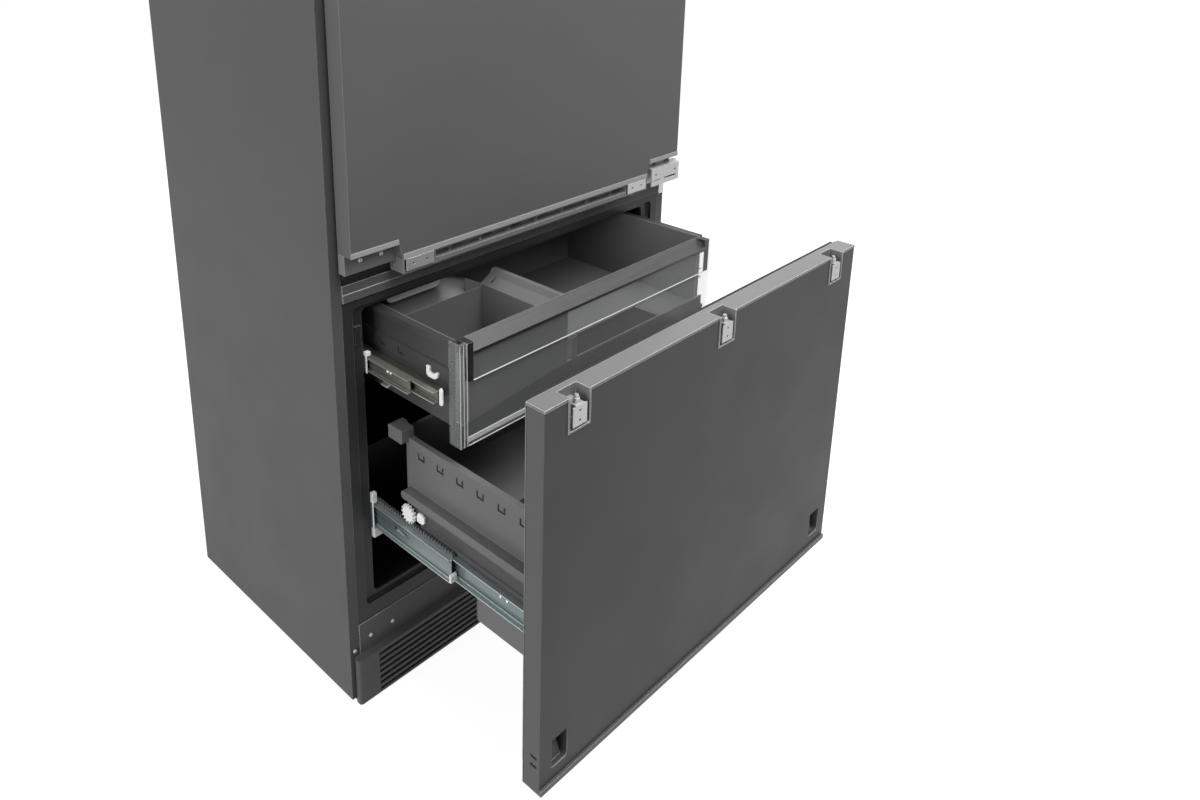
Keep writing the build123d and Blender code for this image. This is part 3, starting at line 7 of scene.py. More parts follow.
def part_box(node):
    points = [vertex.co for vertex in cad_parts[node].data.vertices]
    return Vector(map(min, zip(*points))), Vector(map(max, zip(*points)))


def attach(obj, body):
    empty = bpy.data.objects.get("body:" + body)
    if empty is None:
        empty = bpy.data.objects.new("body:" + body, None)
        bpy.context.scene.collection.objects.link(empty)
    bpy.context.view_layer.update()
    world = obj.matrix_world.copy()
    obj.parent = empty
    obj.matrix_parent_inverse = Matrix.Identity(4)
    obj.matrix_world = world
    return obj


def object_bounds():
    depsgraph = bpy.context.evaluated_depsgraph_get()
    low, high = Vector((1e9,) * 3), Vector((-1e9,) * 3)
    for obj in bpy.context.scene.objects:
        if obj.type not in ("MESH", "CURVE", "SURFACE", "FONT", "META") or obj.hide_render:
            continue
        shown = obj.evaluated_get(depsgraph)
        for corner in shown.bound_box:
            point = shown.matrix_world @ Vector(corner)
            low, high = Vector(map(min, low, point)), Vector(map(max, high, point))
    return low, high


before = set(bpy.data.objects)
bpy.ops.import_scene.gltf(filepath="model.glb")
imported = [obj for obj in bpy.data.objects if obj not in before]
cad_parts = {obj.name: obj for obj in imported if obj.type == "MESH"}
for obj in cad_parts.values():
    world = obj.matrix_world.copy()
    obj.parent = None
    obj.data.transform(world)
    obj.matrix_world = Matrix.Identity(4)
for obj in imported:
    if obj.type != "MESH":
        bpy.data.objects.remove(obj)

cad_low, cad_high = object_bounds()

# ---------------------------------------------------------------- steel wrapper
# The outside of the cabinet is coil-coated steel: two side sheets and a roof, folded at the front.
# It is graphite all over, because the sides may show beside a kitchen panel.
graphite = (0.072, 0.072, 0.074, 1.0)


def start_material(name, roughness, metallic=0.0):
    """New node material: returns it with its tree, its shader and its Object coordinate output."""
    material = bpy.data.materials.new(name)
    material.use_nodes = True
    tree = material.node_tree
    shader = tree.nodes["Principled BSDF"]
    shader.inputs["Roughness"].default_value = roughness
    shader.inputs["Metallic"].default_value = metallic
    place = tree.nodes.new("ShaderNodeTexCoord").outputs["Object"]
    return material, tree, shader, place


def noise(tree, place, scale, detail=3.0, stretch=None):
    """Noise over Object coordinates; stretch squeezes it along each axis, for brushing."""
    if stretch is not None:
        mapping = tree.nodes.new("ShaderNodeMapping")
        mapping.inputs["Scale"].default_value = stretch
        tree.links.new(place, mapping.inputs["Vector"])
        place = mapping.outputs["Vector"]
    texture = tree.nodes.new("ShaderNodeTexNoise")
    texture.inputs["Scale"].default_value = scale
    texture.inputs["Detail"].default_value = detail
    tree.links.new(place, texture.inputs["Vector"])
    return texture.outputs["Fac"]


def ramp(tree, value, stops):
    """Colour ramp through the given (position, colour) stops."""
    node = tree.nodes.new("ShaderNodeValToRGB")
    while len(node.color_ramp.elements) < len(stops):
        node.color_ramp.elements.new(0.5)
    for element, (position, colour) in zip(node.color_ramp.elements, stops):
        element.position = position
        element.color = colour
    tree.links.new(value, node.inputs["Fac"])
    return node.outputs["Color"]


def shade(colour, factor):
    """The colour made darker or paler by a factor."""
    return tuple(channel * factor for channel in colour[:3]) + (1.0,)


def spread(tree, value, low, high):
    """Maps a texture's 0.3 to 0.7 onto a range."""
    node = tree.nodes.new("ShaderNodeMapRange")
    node.inputs["From Min"].default_value = 0.3
    node.inputs["From Max"].default_value = 0.7
    node.inputs["To Min"].default_value = low
    node.inputs["To Max"].default_value = high
    tree.links.new(value, node.inputs["Value"])
    return node.outputs["Result"]


def bump(tree, shader, height, strength):
    """Fine relief on top of the rounded corners, where the material has them."""
    relief_depth = 0.0002
    node = tree.nodes.new("ShaderNodeBump")
    node.inputs["Strength"].default_value = strength
    node.inputs["Distance"].default_value = relief_depth
    tree.links.new(height, node.inputs["Height"])
    for corner in tree.nodes:
        if corner.type == "BEVEL":
            tree.links.new(corner.outputs["Normal"], node.inputs["Normal"])
    tree.links.new(node.outputs["Normal"], shader.inputs["Normal"])


def maths(tree, kind, first, second):
    """Maths node of two values; a number goes on the socket and an output is linked."""
    node = tree.nodes.new("ShaderNodeMath")
    node.operation = kind
    node.use_clamp = kind == "MULTIPLY"
    for socket, value in zip(node.inputs, (first, second)):
        if isinstance(value, (int, float)):
            socket.default_value = value
        else:
            tree.links.new(value, socket)
    return node.outputs[0]


def blended(tree, factor, base, other, kind="MIX"):
    """Colour mix of a base output with another colour or output, by a factor output."""
    node = tree.nodes.new("ShaderNodeMix")
    node.data_type = "RGBA"
    node.blend_type = kind
    tree.links.new(factor, node.inputs["Factor"])
    tree.links.new(base, node.inputs["A"])
    if isinstance(other, tuple):
        node.inputs["B"].default_value = other
    else:
        tree.links.new(other, node.inputs["B"])
    return node.outputs["Result"]


def painted_edge_highlight(tree, colour, radius, gain):
    """Painted highlight on corners: the colour lifts as the rounded normal leans from the flat one.
    """
    soft = tree.nodes.new("ShaderNodeBevel")
    soft.samples = 4
    soft.inputs["Radius"].default_value = radius
    flat = tree.nodes.new("ShaderNodeNewGeometry")
    same = tree.nodes.new("ShaderNodeVectorMath")
    same.operation = "DOT_PRODUCT"
    tree.links.new(soft.outputs["Normal"], same.inputs[0])
    tree.links.new(flat.outputs["True Normal"], same.inputs[1])
    lean = maths(tree, "SUBTRACT", 1.0, same.outputs["Value"])
    steepness = 3.0
    lift = maths(tree, "MULTIPLY", lean, steepness)
    return blended(tree, lift, colour, (gain, gain, gain, 1.0), "ADD")


def coated_steel(name, colour, roughness, blotch=0.05, edge=0.14, coat=0.0):
    """Coil-coated or powder-coated sheet: faint cloudiness, fine peel, painted corner highlight."""
    material, tree, shader, place = start_material(name, roughness)
    cloud_scale, smudge_scale, peel_scale = 2.3, 9.0, 900.0
    corner_radius = 0.0015
    cloud = noise(tree, place, cloud_scale, detail=4.0)
    tones = [(0.3, shade(colour, 1 - blotch)), (0.7, shade(colour, 1 + blotch))]
    paint = ramp(tree, cloud, tones)
    tree.links.new(
        painted_edge_highlight(tree, paint, radius=corner_radius, gain=edge), shader.inputs["Base Color"]
    )
    smudge = noise(tree, place, smudge_scale, detail=5.0)
    dull = spread(tree, smudge, roughness - 0.04, roughness + 0.05)
    tree.links.new(dull, shader.inputs["Roughness"])
    bump(tree, shader, noise(tree, place, peel_scale, detail=2.0), strength=0.12)
    shader.inputs["Coat Weight"].default_value = coat
    shader.inputs["Specular IOR Level"].default_value = 0.12
    return material


def dress(node, material):
    """Gives a CAD node its material in place of the imported one."""
    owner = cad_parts[node]
    if not owner.material_slots:
        owner.data.materials.append(None)
    for slot in owner.material_slots:
        slot.material = material


dress("cabinet_wrapper", coated_steel("wrapper coating", graphite, roughness=0.45))

# ---------------------------------------------------------------- rear panels, deck and base pan
# Plain galvanised sheets close the back, screwed on along their edges; the lower one has louvres.
# The zinc shows its spangle. The deck and the base pan below the cabinet are painted near black,
# partly as painted shade behind the grille.
zinc_grey = (0.50, 0.52, 0.53, 1.0)


def galvanised(name, colour, roughness):
    """Hot-dip zinc: flat crystals about 14 mm across, each a little lighter or darker."""
    crystals_per_metre, relief_scale = 70.0, 260.0
    material, tree, shader, place = start_material(name, roughness, metallic=0.75)
    crystal = tree.nodes.new("ShaderNodeTexVoronoi")
    crystal.inputs["Scale"].default_value = crystals_per_metre
    tree.links.new(place, crystal.inputs["Vector"])
    cell = tree.nodes.new("ShaderNodeSeparateColor")
    tree.links.new(crystal.outputs["Color"], cell.inputs["Color"])
    tones = [(0.0, shade(colour, 0.86)), (1.0, shade(colour, 1.12))]
    spangle = ramp(tree, cell.outputs["Red"], tones)
    # A faint painted highlight lifts the corners.
    tree.links.new(painted_edge_highlight(tree, spangle, radius=0.0010, gain=0.1), shader.inputs["Base Color"])
    dull = spread(tree, cell.outputs["Green"], roughness - 0.06, roughness + 0.08)
    tree.links.new(dull, shader.inputs["Roughness"])
    bump(tree, shader, noise(tree, place, relief_scale, detail=2.0), strength=0.08)
    return material


dress("rear_panels", galvanised("galvanised sheet", zinc_grey, roughness=0.42))
# Near-black deck paint, darker than the wrapper, also stands for the shade behind the grille.
dress(
    "machine_decks",
    coated_steel("deck paint", (0.030, 0.030, 0.031, 1.0), roughness=0.50, edge=0.0),
)

# ---------------------------------------------------------------- front frame, rails and toe grille
# A moulded frame with a stepped, round-cornered pocket goes round each opening. A folded rail
# covers the mullion and a plate the foot, with small bright screws; the grille clips on.
frame_grey = (0.021, 0.021, 0.022, 1.0)
cabinet_front = cad_low.y + 0.474
screw_bright = (0.62, 0.62, 0.62, 1.0)
plate_screw_heads = (cabinet_front - 0.0040, cabinet_front - 0.0016)
plate_screw_heights = (0.125, 0.141)
flange_screw_heads = (cabinet_front - 0.0040, cabinet_front - 0.0001)
flange_screw_heights = (0.1132, 0.1228)
flange_screw_across, flange_screw_radius = 0.4435, 0.0045


def moulded(name, colour, roughness, grain=650.0, depth=0.18, edge=0.10):
    """Injection-moulded plastic: fine spark-eroded grain, a faint uneven tone, painted corner
    highlight.
    """
    material, tree, shader, place = start_material(name, roughness)
    cloud_scale, wear_scale = 5.0, 40.0
    corner_radius = 0.0014
    cloud = noise(tree, place, cloud_scale, detail=4.0)
    tone = ramp(tree, cloud, [(0.3, shade(colour, 0.95)), (0.7, shade(colour, 1.05))])
    tree.links.new(painted_edge_highlight(tree, tone, radius=corner_radius, gain=edge), shader.inputs["Base Color"])
    worn = spread(tree, noise(tree, place, wear_scale), roughness - 0.03, roughness + 0.04)
    tree.links.new(worn, shader.inputs["Roughness"])
    bump(tree, shader, noise(tree, place, grain, detail=3.0), strength=depth)
    shader.inputs["Specular IOR Level"].default_value = 0.22
    return material


def between(tree, place, axis, low, high):
    """Is one where an Object coordinate lies between two values, and nought elsewhere."""
    split = tree.nodes.new("ShaderNodeSeparateXYZ")
    tree.links.new(place, split.inputs["Vector"])
    near = tree.nodes.new("ShaderNodeMath")
    near.operation = "COMPARE"
    near.inputs[1].default_value = (low + high) / 2
    near.inputs[2].default_value = (high - low) / 2
    tree.links.new(split.outputs[axis], near.inputs[0])
    return near.outputs[0]


def marked(material, mask, colour):
    """Lets another colour show in a coated or moulded material where the mask is one."""
    tree = material.node_tree
    socket = tree.nodes["Principled BSDF"].inputs["Base Color"]
    base = socket.links[0].from_socket
    tree.links.new(blended(tree, mask, base, colour), socket)


def object_place(tree):
    """The Object coordinate output that start_material made."""
    return next(node for node in tree.nodes if node.type == "TEX_COORD").outputs["Object"]


# The rail's corners carry a strong painted highlight.
rail_paint = coated_steel("rail paint", (0.086, 0.086, 0.088, 1.0), roughness=0.36, edge=0.8)
rail_tree = rail_paint.node_tree
rail_place = object_place(rail_tree)
proud = between(rail_tree, rail_place, "Y", *plate_screw_heads)
level = between(rail_tree, rail_place, "Z", *plate_screw_heights)
marked(rail_paint, maths(rail_tree, "MULTIPLY", proud, level), screw_bright)
proud = between(rail_tree, rail_place, "Y", *flange_screw_heads)
level = between(rail_tree, rail_place, "Z", *flange_screw_heights)
band = maths(rail_tree, "MULTIPLY", proud, level)
for corner in (-flange_screw_across, flange_screw_across):
    edges = (corner - flange_screw_radius, corner + flange_screw_radius)
    reach = between(rail_tree, rail_place, "X", *edges)
    marked(rail_paint, maths(rail_tree, "MULTIPLY", band, reach), screw_bright)
dress("front_frame", moulded("frame moulding", frame_grey, roughness=0.40, edge=0.25))
dress("front_rails", rail_paint)
dress(
    "kick_grille",
    moulded("grille moulding", (0.060, 0.060, 0.062, 1.0), roughness=0.42, edge=0.0),
)

# ---------------------------------------------------------------- liners, covers and lamps
# Vacuum-formed tubs of dark polystyrene behind each opening, with a moulded cover at the rear.
# The lamp lenses are pale and matt. Insulation is foamed in place behind the liners and skins, and
# shows only in the side slots of the drawer front.
liner_dark = (0.010, 0.010, 0.011, 1.0)
dress(
    "freezer_liner",
    moulded("freezer liner", liner_dark, roughness=0.38, grain=300.0, depth=0.1, edge=0.02),
)
dress(
    "fridge_liner",
    moulded("fridge liner", (0.10, 0.10, 0.105, 1.0), roughness=0.38, grain=300.0, depth=0.1),
)
dress("evaporator_cover", moulded("rear cover", (0.045, 0.045, 0.047, 1.0), roughness=0.42))
dress(
    "lamp_lenses",
    moulded("lamp lens", (0.72, 0.72, 0.73, 1.0), roughness=0.35, grain=900.0, depth=0.05),
)
dress("control_panel", moulded("control housing", (0.30, 0.30, 0.31, 1.0), roughness=0.3))
foam = moulded(
    "insulation", (0.075, 0.075, 0.078, 1.0), roughness=0.9, grain=200.0, depth=0.6, edge=0.0
)
dress("cabinet_foam", foam)
dress("door_foam", foam)
# The drawer's foam, seen only in its side slots, is painted much darker as shade in the slots.
insulation_shade_colour = (0.012, 0.012, 0.012, 1.0)
dress(
    "drawer_foam",
    moulded("dark insulation", insulation_shade_colour, roughness=0.9, grain=200.0, depth=0.6, edge=0.0),
)

# ---------------------------------------------------------------- machine room and feet
# Black lacquered compressor on rubber mounts, black condenser, fan, motors and pan; the evaporator
# is bare aluminium and its fan is white. The levelling feet and roller forks are zinc-plated steel.
lacquer_black = (0.012, 0.012, 0.012, 1.0)
compressor_lacquer = coated_steel(
    "compressor lacquer", lacquer_black, roughness=0.28, blotch=0.1, edge=0.02, coat=0.4
)
dress("compressor", compressor_lacquer)
rubber = moulded(
    "rubber", (0.018, 0.018, 0.018, 1.0), roughness=0.75, grain=250.0, depth=0.3, edge=0.01
)
dress("compressor_grommets", rubber)


def drawn_metal(
    name, colour, roughness, along, metallic=0.9, depth=0.12, contrast=0.15, edge=0.2
):
    """Rolled or brushed metal: long faint streaks along one axis, and a painted corner highlight.
    """
    material, tree, shader, place = start_material(name, roughness, metallic=metallic)
    streak_scale, streak_squeeze = 420.0, 0.02
    corner_radius = 0.0009
    stretch = tuple(streak_squeeze if axis == along else 1.0 for axis in "XYZ")
    streak = noise(tree, place, streak_scale, detail=4.0, stretch=stretch)
    tones = [(0.25, shade(colour, 1 - contrast)), (0.75, shade(colour, 1 + contrast))]
    lines = ramp(tree, streak, tones)
    tree.links.new(
        painted_edge_highlight(tree, lines, radius=corner_radius, gain=edge), shader.inputs["Base Color"]
    )
    dull = spread(tree, streak, roughness - 0.08, roughness + 0.10)
    tree.links.new(dull, shader.inputs["Roughness"])
    bump(tree, shader, streak, strength=depth)
    return material


dress(
    "evaporator",
    drawn_metal("coil aluminium", (0.62, 0.62, 0.62, 1.0), roughness=0.38, along="Z"),
)
dress(
    "condenser",
    coated_steel("condenser lacquer", lacquer_black, roughness=0.45, blotch=0.1, edge=0.0),
)
black_plastic = moulded("black plastic", (0.022, 0.022, 0.022, 1.0), roughness=0.38, edge=0.02)
for name in ("fan_motors", "drain_pan", "power_inlet", "condenser_fan"):
    dress(name, black_plastic)
for side in ("left", "right"):
    dress(f"rear_roller_{side}", black_plastic)
dress("evaporator_fan", moulded("fan white", (0.5, 0.5, 0.5, 1.0), roughness=0.4))
zinc_plate = drawn_metal(
    "zinc plate", (0.58, 0.60, 0.60, 1.0), roughness=0.34, along="Y", metallic=0.6
)
dress("floor_supports", zinc_plate)

# ---------------------------------------------------------------- drawer slides
# On the middle and inner members, the bright lips are a painted highlight and the dark grooves
# painted shade.
# Cold-rolled steel members with a bluish zinc plating, rolled with long grooves.
# White moulded brackets end the fixed members. Racks on the lower middle ones mesh with the white
# toothed wheels of the stabiliser shaft.
slide_colour = (0.17, 0.20, 0.20, 1.0)
upper_colour = (0.13, 0.135, 0.115, 1.0)


def rolled_member(node, colour, roughness):
    """Plated section rolled along its length: painted highlight on the lips, painted shade in a
    groove by each, a plain web.
    """
    material = drawn_metal(
        f"{node} plating",
        colour,
        roughness=roughness,
        along="Y",
        metallic=0.7,
        depth=0.1,
        contrast=0.10,
        edge=0.2,
    )
    tree = material.node_tree
    low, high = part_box(node)
    split = tree.nodes.new("ShaderNodeSeparateXYZ")
    tree.links.new(object_place(tree), split.inputs["Vector"])
    height = tree.nodes.new("ShaderNodeMapRange")
    height.inputs["From Min"].default_value = low[2]
    height.inputs["From Max"].default_value = high[2]
    tree.links.new(split.outputs["Z"], height.inputs["Value"])
    # Colour factors by height: painted highlight on the lips, painted shade in the grooves.
    painted_light_bands = [
        (0.0, 2.2), (0.07, 2.2), (0.11, 0.45), (0.20, 1.1), (0.74, 0.9), (0.84, 0.4), (0.93, 2.0),
    ]
    stops = [(position, shade((1.0, 1.0, 1.0), level)) for position, level in painted_light_bands]
    tones = ramp(tree, height.outputs["Result"], stops)
    colour_input = tree.nodes["Principled BSDF"].inputs["Base Color"]
    base = colour_input.links[0].from_socket
    product = tree.nodes.new("ShaderNodeVectorMath")
    product.operation = "MULTIPLY"
    tree.links.new(base, product.inputs[0])
    tree.links.new(tones, product.inputs[1])
    tree.links.new(product.outputs["Vector"], colour_input)
    dress(node, material)


def ease_edges(node, width):
    """Broken edges: joins the node's triangles into faces and rounds its sharp corners."""
    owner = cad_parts[node]
    weld = owner.modifiers.new("join", "WELD")
    weld.merge_threshold = 0.00001
    flat = owner.modifiers.new("flat", "DECIMATE")
    flat.decimate_type = "DISSOLVE"
    flat.angle_limit = math.radians(0.5)
    edge = owner.modifiers.new("edge", "BEVEL")
    edge.width = width
    edge.segments = 2
    edge.limit_method = "ANGLE"
    edge.angle_limit = math.radians(35)
    edge.use_clamp_overlap = True


for kind in ("middles", "inners"):
    rolled_member(f"lower_slide_{kind}", slide_colour, roughness=0.30)
for kind in ("middles", "inners"):
    rolled_member(f"upper_slide_{kind}", upper_colour, roughness=0.34)
dress(
    "slides_outer",
    drawn_metal("outer slide plating", slide_colour, roughness=0.34, along="Y", metallic=0.7),
)
white_moulding = moulded(
    "white moulding", (0.66, 0.66, 0.64, 1.0), roughness=0.38, grain=700.0, depth=0.1, edge=0.1
)
dress("slide_brackets", white_moulding)
ease_edges("slide_brackets", width=0.0008)
dress(
    "slide_racks",
    drawn_metal("rack steel", (0.12, 0.13, 0.13, 1.0), roughness=0.4, along="Y", metallic=0.6),
)
dress("stabiliser_shaft", white_moulding)


def finish_mesh(name, corners, faces, body, material, width, smooth=False):
    """New piece of the given corners and faces, its edges broken by width, riding on a body."""
    mesh = bpy.data.meshes.new(name)
    mesh.from_pydata(corners.tolist(), [], faces)
    mesh.materials.append(material)
    mesh.update()
    piece = bpy.data.objects.new(name, mesh)
    bpy.context.scene.collection.objects.link(piece)
    if smooth:
        mesh.polygons.foreach_set("use_smooth", np.ones(len(mesh.polygons), bool))
    if width:
        edge = piece.modifiers.new("edge", "BEVEL")
        edge.width = width
        edge.segments = 2
        edge.limit_method = "ANGLE"
        edge.angle_limit = math.radians(30)
    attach(piece, body)


def pushed(name, outline, x, body, material, width=0.0006):
    """Prism in millimetres: an outline in Y and Z pushed along X from x[0] to x[1].

    Y counts from the cabinet's front. An outline that runs clockwise is turned round first.
    """
    ring = np.array(outline, float)
    turn = np.roll(ring, -1, 0)
    if np.sum(ring[:, 0] * turn[:, 1] - turn[:, 0] * ring[:, 1]) < 0:
        ring = ring[::-1]
    count = len(ring)
    sides = [np.column_stack([np.full(count, edge), ring]) for edge in x]
    corners = np.vstack(sides) / 1000
    corners[:, 1] += cabinet_front
    index = np.arange(count)
    after = np.roll(index, -1)
    walls = np.stack([index, after, after + count, index + count], 1).tolist()
    ends = [index[::-1].tolist(), (index + count).tolist()]
    finish_mesh(name, corners, walls + ends, body, material, width=width)


def turned(name, profile, centre, body, material, steps, stretch=0.0, facing="left"):
    """Turned piece facing left or front, in millimetres: the profile swept round its axis.

    For each (radius, height) of the profile, a corner lies (radius cos a, radius sin a) across from
    the centre and height outwards; stretch pulls the two halves apart, which makes an oval.
    """
    ring = np.array(profile, float)
    angle = np.linspace(0, 2 * math.pi, steps, endpoint=False)
    radius, height = ring[:, 0][:, None], ring[:, 1][:, None]
    along = radius * np.cos(angle) + np.sign(np.cos(angle)) * stretch
    up = radius * np.sin(angle)
    out = np.repeat(height, steps, 1)
    if facing == "left":
        corners = np.stack([centre[0] - out, centre[1] + along, centre[2] + up], -1)
    else:
        corners = np.stack([centre[0] - along, centre[1] - out, centre[2] + up], -1)
    corners = corners.reshape(-1, 3) / 1000
    corners[:, 1] += cabinet_front
    row, column = np.meshgrid(np.arange(len(ring) - 1), np.arange(steps), indexing="ij")
    beside = (column + 1) % steps
    near, far = row * steps, (row + 1) * steps
    quads = np.stack([near + column, far + column, far + beside, near + beside], -1)
    faces = quads.reshape(-1, 4).tolist()
    first = np.arange(steps)
    faces.append(first.tolist())
    faces.append((first[::-1] + (len(ring) - 1) * steps).tolist())
    finish_mesh(name, corners, faces, body, material, width=0.0, smooth=True)


emboss_colour = (0.14, 0.165, 0.165, 1.0)
emboss_metal = drawn_metal(
    "embossed plating", emboss_colour, roughness=0.35, along="Y", metallic=0.6, edge=0.0
)
hole_shade = moulded("hole", (0.006, 0.006, 0.006, 1.0), roughness=0.7, edge=0.0)
middle_web = -379.5
lower_inner_web, upper_inner_web = -368, -366.5
emboss = [(7.0, 0.0), (6.6, 0.9), (5.6, 1.3), (4.4, 1.2), (3.8, 0.6)]
turned(
    "slide_emboss",
    emboss,
    (middle_web, -76, 388),
    "lower_middles",
    emboss_metal,
    steps=32,
    stretch=12.0,
)
# The rivet is drawn near black, as painted shade standing for a hole.
rivet = [(3.6, 0.0), (3.4, 1.0), (2.6, 1.5), (1.0, 1.6)]
turned("slide_rivet", rivet, (middle_web, -58, 388.5), "lower_middles", hole_shade, steps=20)
stop = [(-212, 362.6), (-212, 374), (-210, 378), (-207.2, 378), (-207.2, 362.6)]
pushed("slide_stop", stop, (-385.4, -371), "lower_middles", white_moulding)
bearing = [
    (-107, 424), (-107, 437), (-111, 443), (-121, 444), (-127, 438), (-127, 428), (-122, 424),
]
pushed("shaft_bearing", bearing, (-372, -366.3), "freezer_drawer", white_moulding, width=0.0012)
cap = [
    (-172.5, 682), (-172.5, 710), (-175, 713), (-178, 713),
    (-180.5, 709), (-180.5, 684), (-179, 682),
]
pushed("slide_end_cap", cap, (-369.9, -366.6), "inner_drawer", white_moulding, width=0.0008)
brass = drawn_metal("brass pin", (0.80, 0.76, 0.62, 1.0), roughness=0.3, along="Z", metallic=0.3)
pin = [(2.8, 0.0), (2.7, 0.9), (2.0, 1.5), (0.6, 1.7)]
upper_pin_level, lower_pin_level = 699, 390
for number, y in enumerate((-50, -58)):
    place = (middle_web, y, upper_pin_level)
    turned(f"slide_pin_{number}", pin, place, "upper_middles", brass, steps=16)
for number, y in enumerate((-136, -150), 2):
    place = (upper_inner_web, y, upper_pin_level)
    turned(f"slide_pin_{number}", pin, place, "inner_drawer", brass, steps=16)
for side, y in (("front", -330), ("rear", -315)):
    place = (lower_inner_web, y, lower_pin_level)
    turned(f"lower_slide_pin_{side}", pin, place, "freezer_drawer", brass, steps=16)

# ---------------------------------------------------------------- freezer drawer front
# Folded steel face, coated dark graphite, foamed to a moulded inner panel with a soft gasket.
# A paler moulded cap closes the top and forms the rims of the bracket notches; darker mouldings
# line the corner sockets and the foot.
face_colour = (0.045, 0.045, 0.046, 1.0)
fold_highlight_colour = (0.079, 0.079, 0.080, 1.0)
seam_colour, lip_highlight_colour = (0.015, 0.015, 0.015, 1.0), (0.24, 0.24, 0.24, 1.0)
face_half_width, sheet = 0.437, 0.0008
face_paint = coated_steel("drawer face", face_colour, roughness=0.42, edge=0.40)
face_tree = face_paint.node_tree
# The folds at both sides are painted paler as a highlight.
for side in (-face_half_width, face_half_width):
    fold_highlight = between(face_tree, object_place(face_tree), "X", side - sheet, side + sheet)
    marked(face_paint, fold_highlight, fold_highlight_colour)
skin_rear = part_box("drawer_skin")[1][1]
seam_front, lip_front, lip_rear = skin_rear - 0.0026, skin_rear - 0.0012, skin_rear + 0.0010
seam = between(face_tree, object_place(face_tree), "Y", seam_front, lip_front)
marked(face_paint, seam, seam_colour)
# Behind the dark seam band, a pale band along the skin's rear edge is a painted highlight.
lip = between(face_tree, object_place(face_tree), "Y", lip_front, lip_rear)
marked(face_paint, lip, lip_highlight_colour)
dress("drawer_skin", face_paint)
cap_colour, trim_colour = (0.140, 0.140, 0.142, 1.0), (0.060, 0.060, 0.061, 1.0)
# The cap's and the sockets' corners carry a strong painted highlight.
dress(
    "drawer_top_cap",
    moulded("top cap", cap_colour, roughness=0.36, grain=500.0, depth=0.12, edge=0.8),
)
dress("drawer_sockets", moulded("socket moulding", trim_colour, roughness=0.38, edge=0.7))
dress("drawer_bottom_trim", moulded("bottom trim", trim_colour, roughness=0.36, edge=0.45))
inner_grey = moulded("inner panel", (0.10, 0.10, 0.102, 1.0), roughness=0.42)
dress("drawer_inner_panel", inner_grey)
dress("drawer_gasket", rubber)
steel_colour = (0.40, 0.40, 0.40, 1.0)
satin_steel = drawn_metal(
    "satin steel",
    steel_colour,
    roughness=0.34,
    along="X",
    metallic=0.55,
    depth=0.08,
    contrast=0.06,
    edge=0.3,
)
dress("drawer_panel_brackets", satin_steel)

# ---------------------------------------------------------------- side frames and lower basket
# Painted steel frames ride on the slides and carry the moulded basket by its ledges.
# The basket is one grey moulding with a rim band and a row of shallow marks on its sides.
dress("drawer_side_frames", coated_steel("frame paint", (0.055, 0.055, 0.056, 1.0), roughness=0.40))
bin_colour = (0.105, 0.105, 0.106, 1.0)
bin_grey = moulded("bin grey", bin_colour, roughness=0.38, edge=0.12)
basket_grey = moulded("basket grey", bin_colour, roughness=0.38, edge=0.12)


def paint_groove_shade(material, groove, heights):
    """Paints shade on the floor of the grooves that are sunk in both sides of a bin."""
    groove_shade_colour, slack = (0.012, 0.012, 0.012, 1.0), 0.0003
    tree = material.node_tree
    level = between(tree, object_place(tree), "Z", *heights)
    for side in (-groove, groove):
        sunk = between(tree, object_place(tree), "X", side - slack, side + slack)
        marked(material, maths(tree, "MULTIPLY", sunk, level), groove_shade_colour)


# The groove floors are painted dark as shade.
paint_groove_shade(basket_grey, groove=0.3508, heights=(0.5315, 0.5465))
dress("freezer_basket", basket_grey)

# ---------------------------------------------------------------- inner drawer
# Grey moulded bin with a lift-out divider and a dark glossy freezing plate on its floor.
# Its front is a clear pane with a guard, ribbed foot strip and end posts below a brushed bar.
wall_shade_colour = (0.036, 0.036, 0.037, 1.0)
wall_across, wall_reach = 0.350, 0.010
inner_grey_bin = moulded("inner bin grey", bin_colour, roughness=0.38, edge=0.12)
bin_tree = inner_grey_bin.node_tree
# The bin's side walls are painted darker, as shade.
for side in (-wall_across, wall_across):
    wall_shade = between(bin_tree, object_place(bin_tree), "X", side - wall_reach, side + wall_reach)
    marked(inner_grey_bin, wall_shade, wall_shade_colour)
paint_groove_shade(inner_grey_bin, groove=0.3515, heights=(0.7235, 0.7355))
dress("inner_bin", inner_grey_bin)
dress("bin_divider", bin_grey)
plate_colour = (0.006, 0.005, 0.006, 1.0)
dress(
    "quick_tray",
    moulded("dark plate", plate_colour, roughness=0.12, grain=300.0, depth=0.02, edge=0.6),
)


def clear_sheet(name, colour, roughness, density):
    """Clear sheet: denser where it is seen edge-on, with handling marks that dull its gloss."""
    edge_density = 0.45
    smudge_scale, wave_scale = 14.0, 60.0
    material, tree, shader, place = start_material(name, roughness)
    shader.inputs["Base Color"].default_value = colour
    smudge = noise(tree, place, smudge_scale, detail=5.0)
    tree.links.new(spread(tree, smudge, roughness, roughness + 0.08), shader.inputs["Roughness"])
    slant = tree.nodes.new("ShaderNodeLayerWeight")
    slant.inputs["Blend"].default_value = 0.25
    opacity = tree.nodes.new("ShaderNodeMapRange")
    opacity.inputs["To Min"].default_value = density
    opacity.inputs["To Max"].default_value = edge_density
    tree.links.new(slant.outputs["Facing"], opacity.inputs["Value"])
    tree.links.new(opacity.outputs["Result"], shader.inputs["Alpha"])
    bump(tree, shader, noise(tree, place, wave_scale, detail=2.0), strength=0.03)
    return material


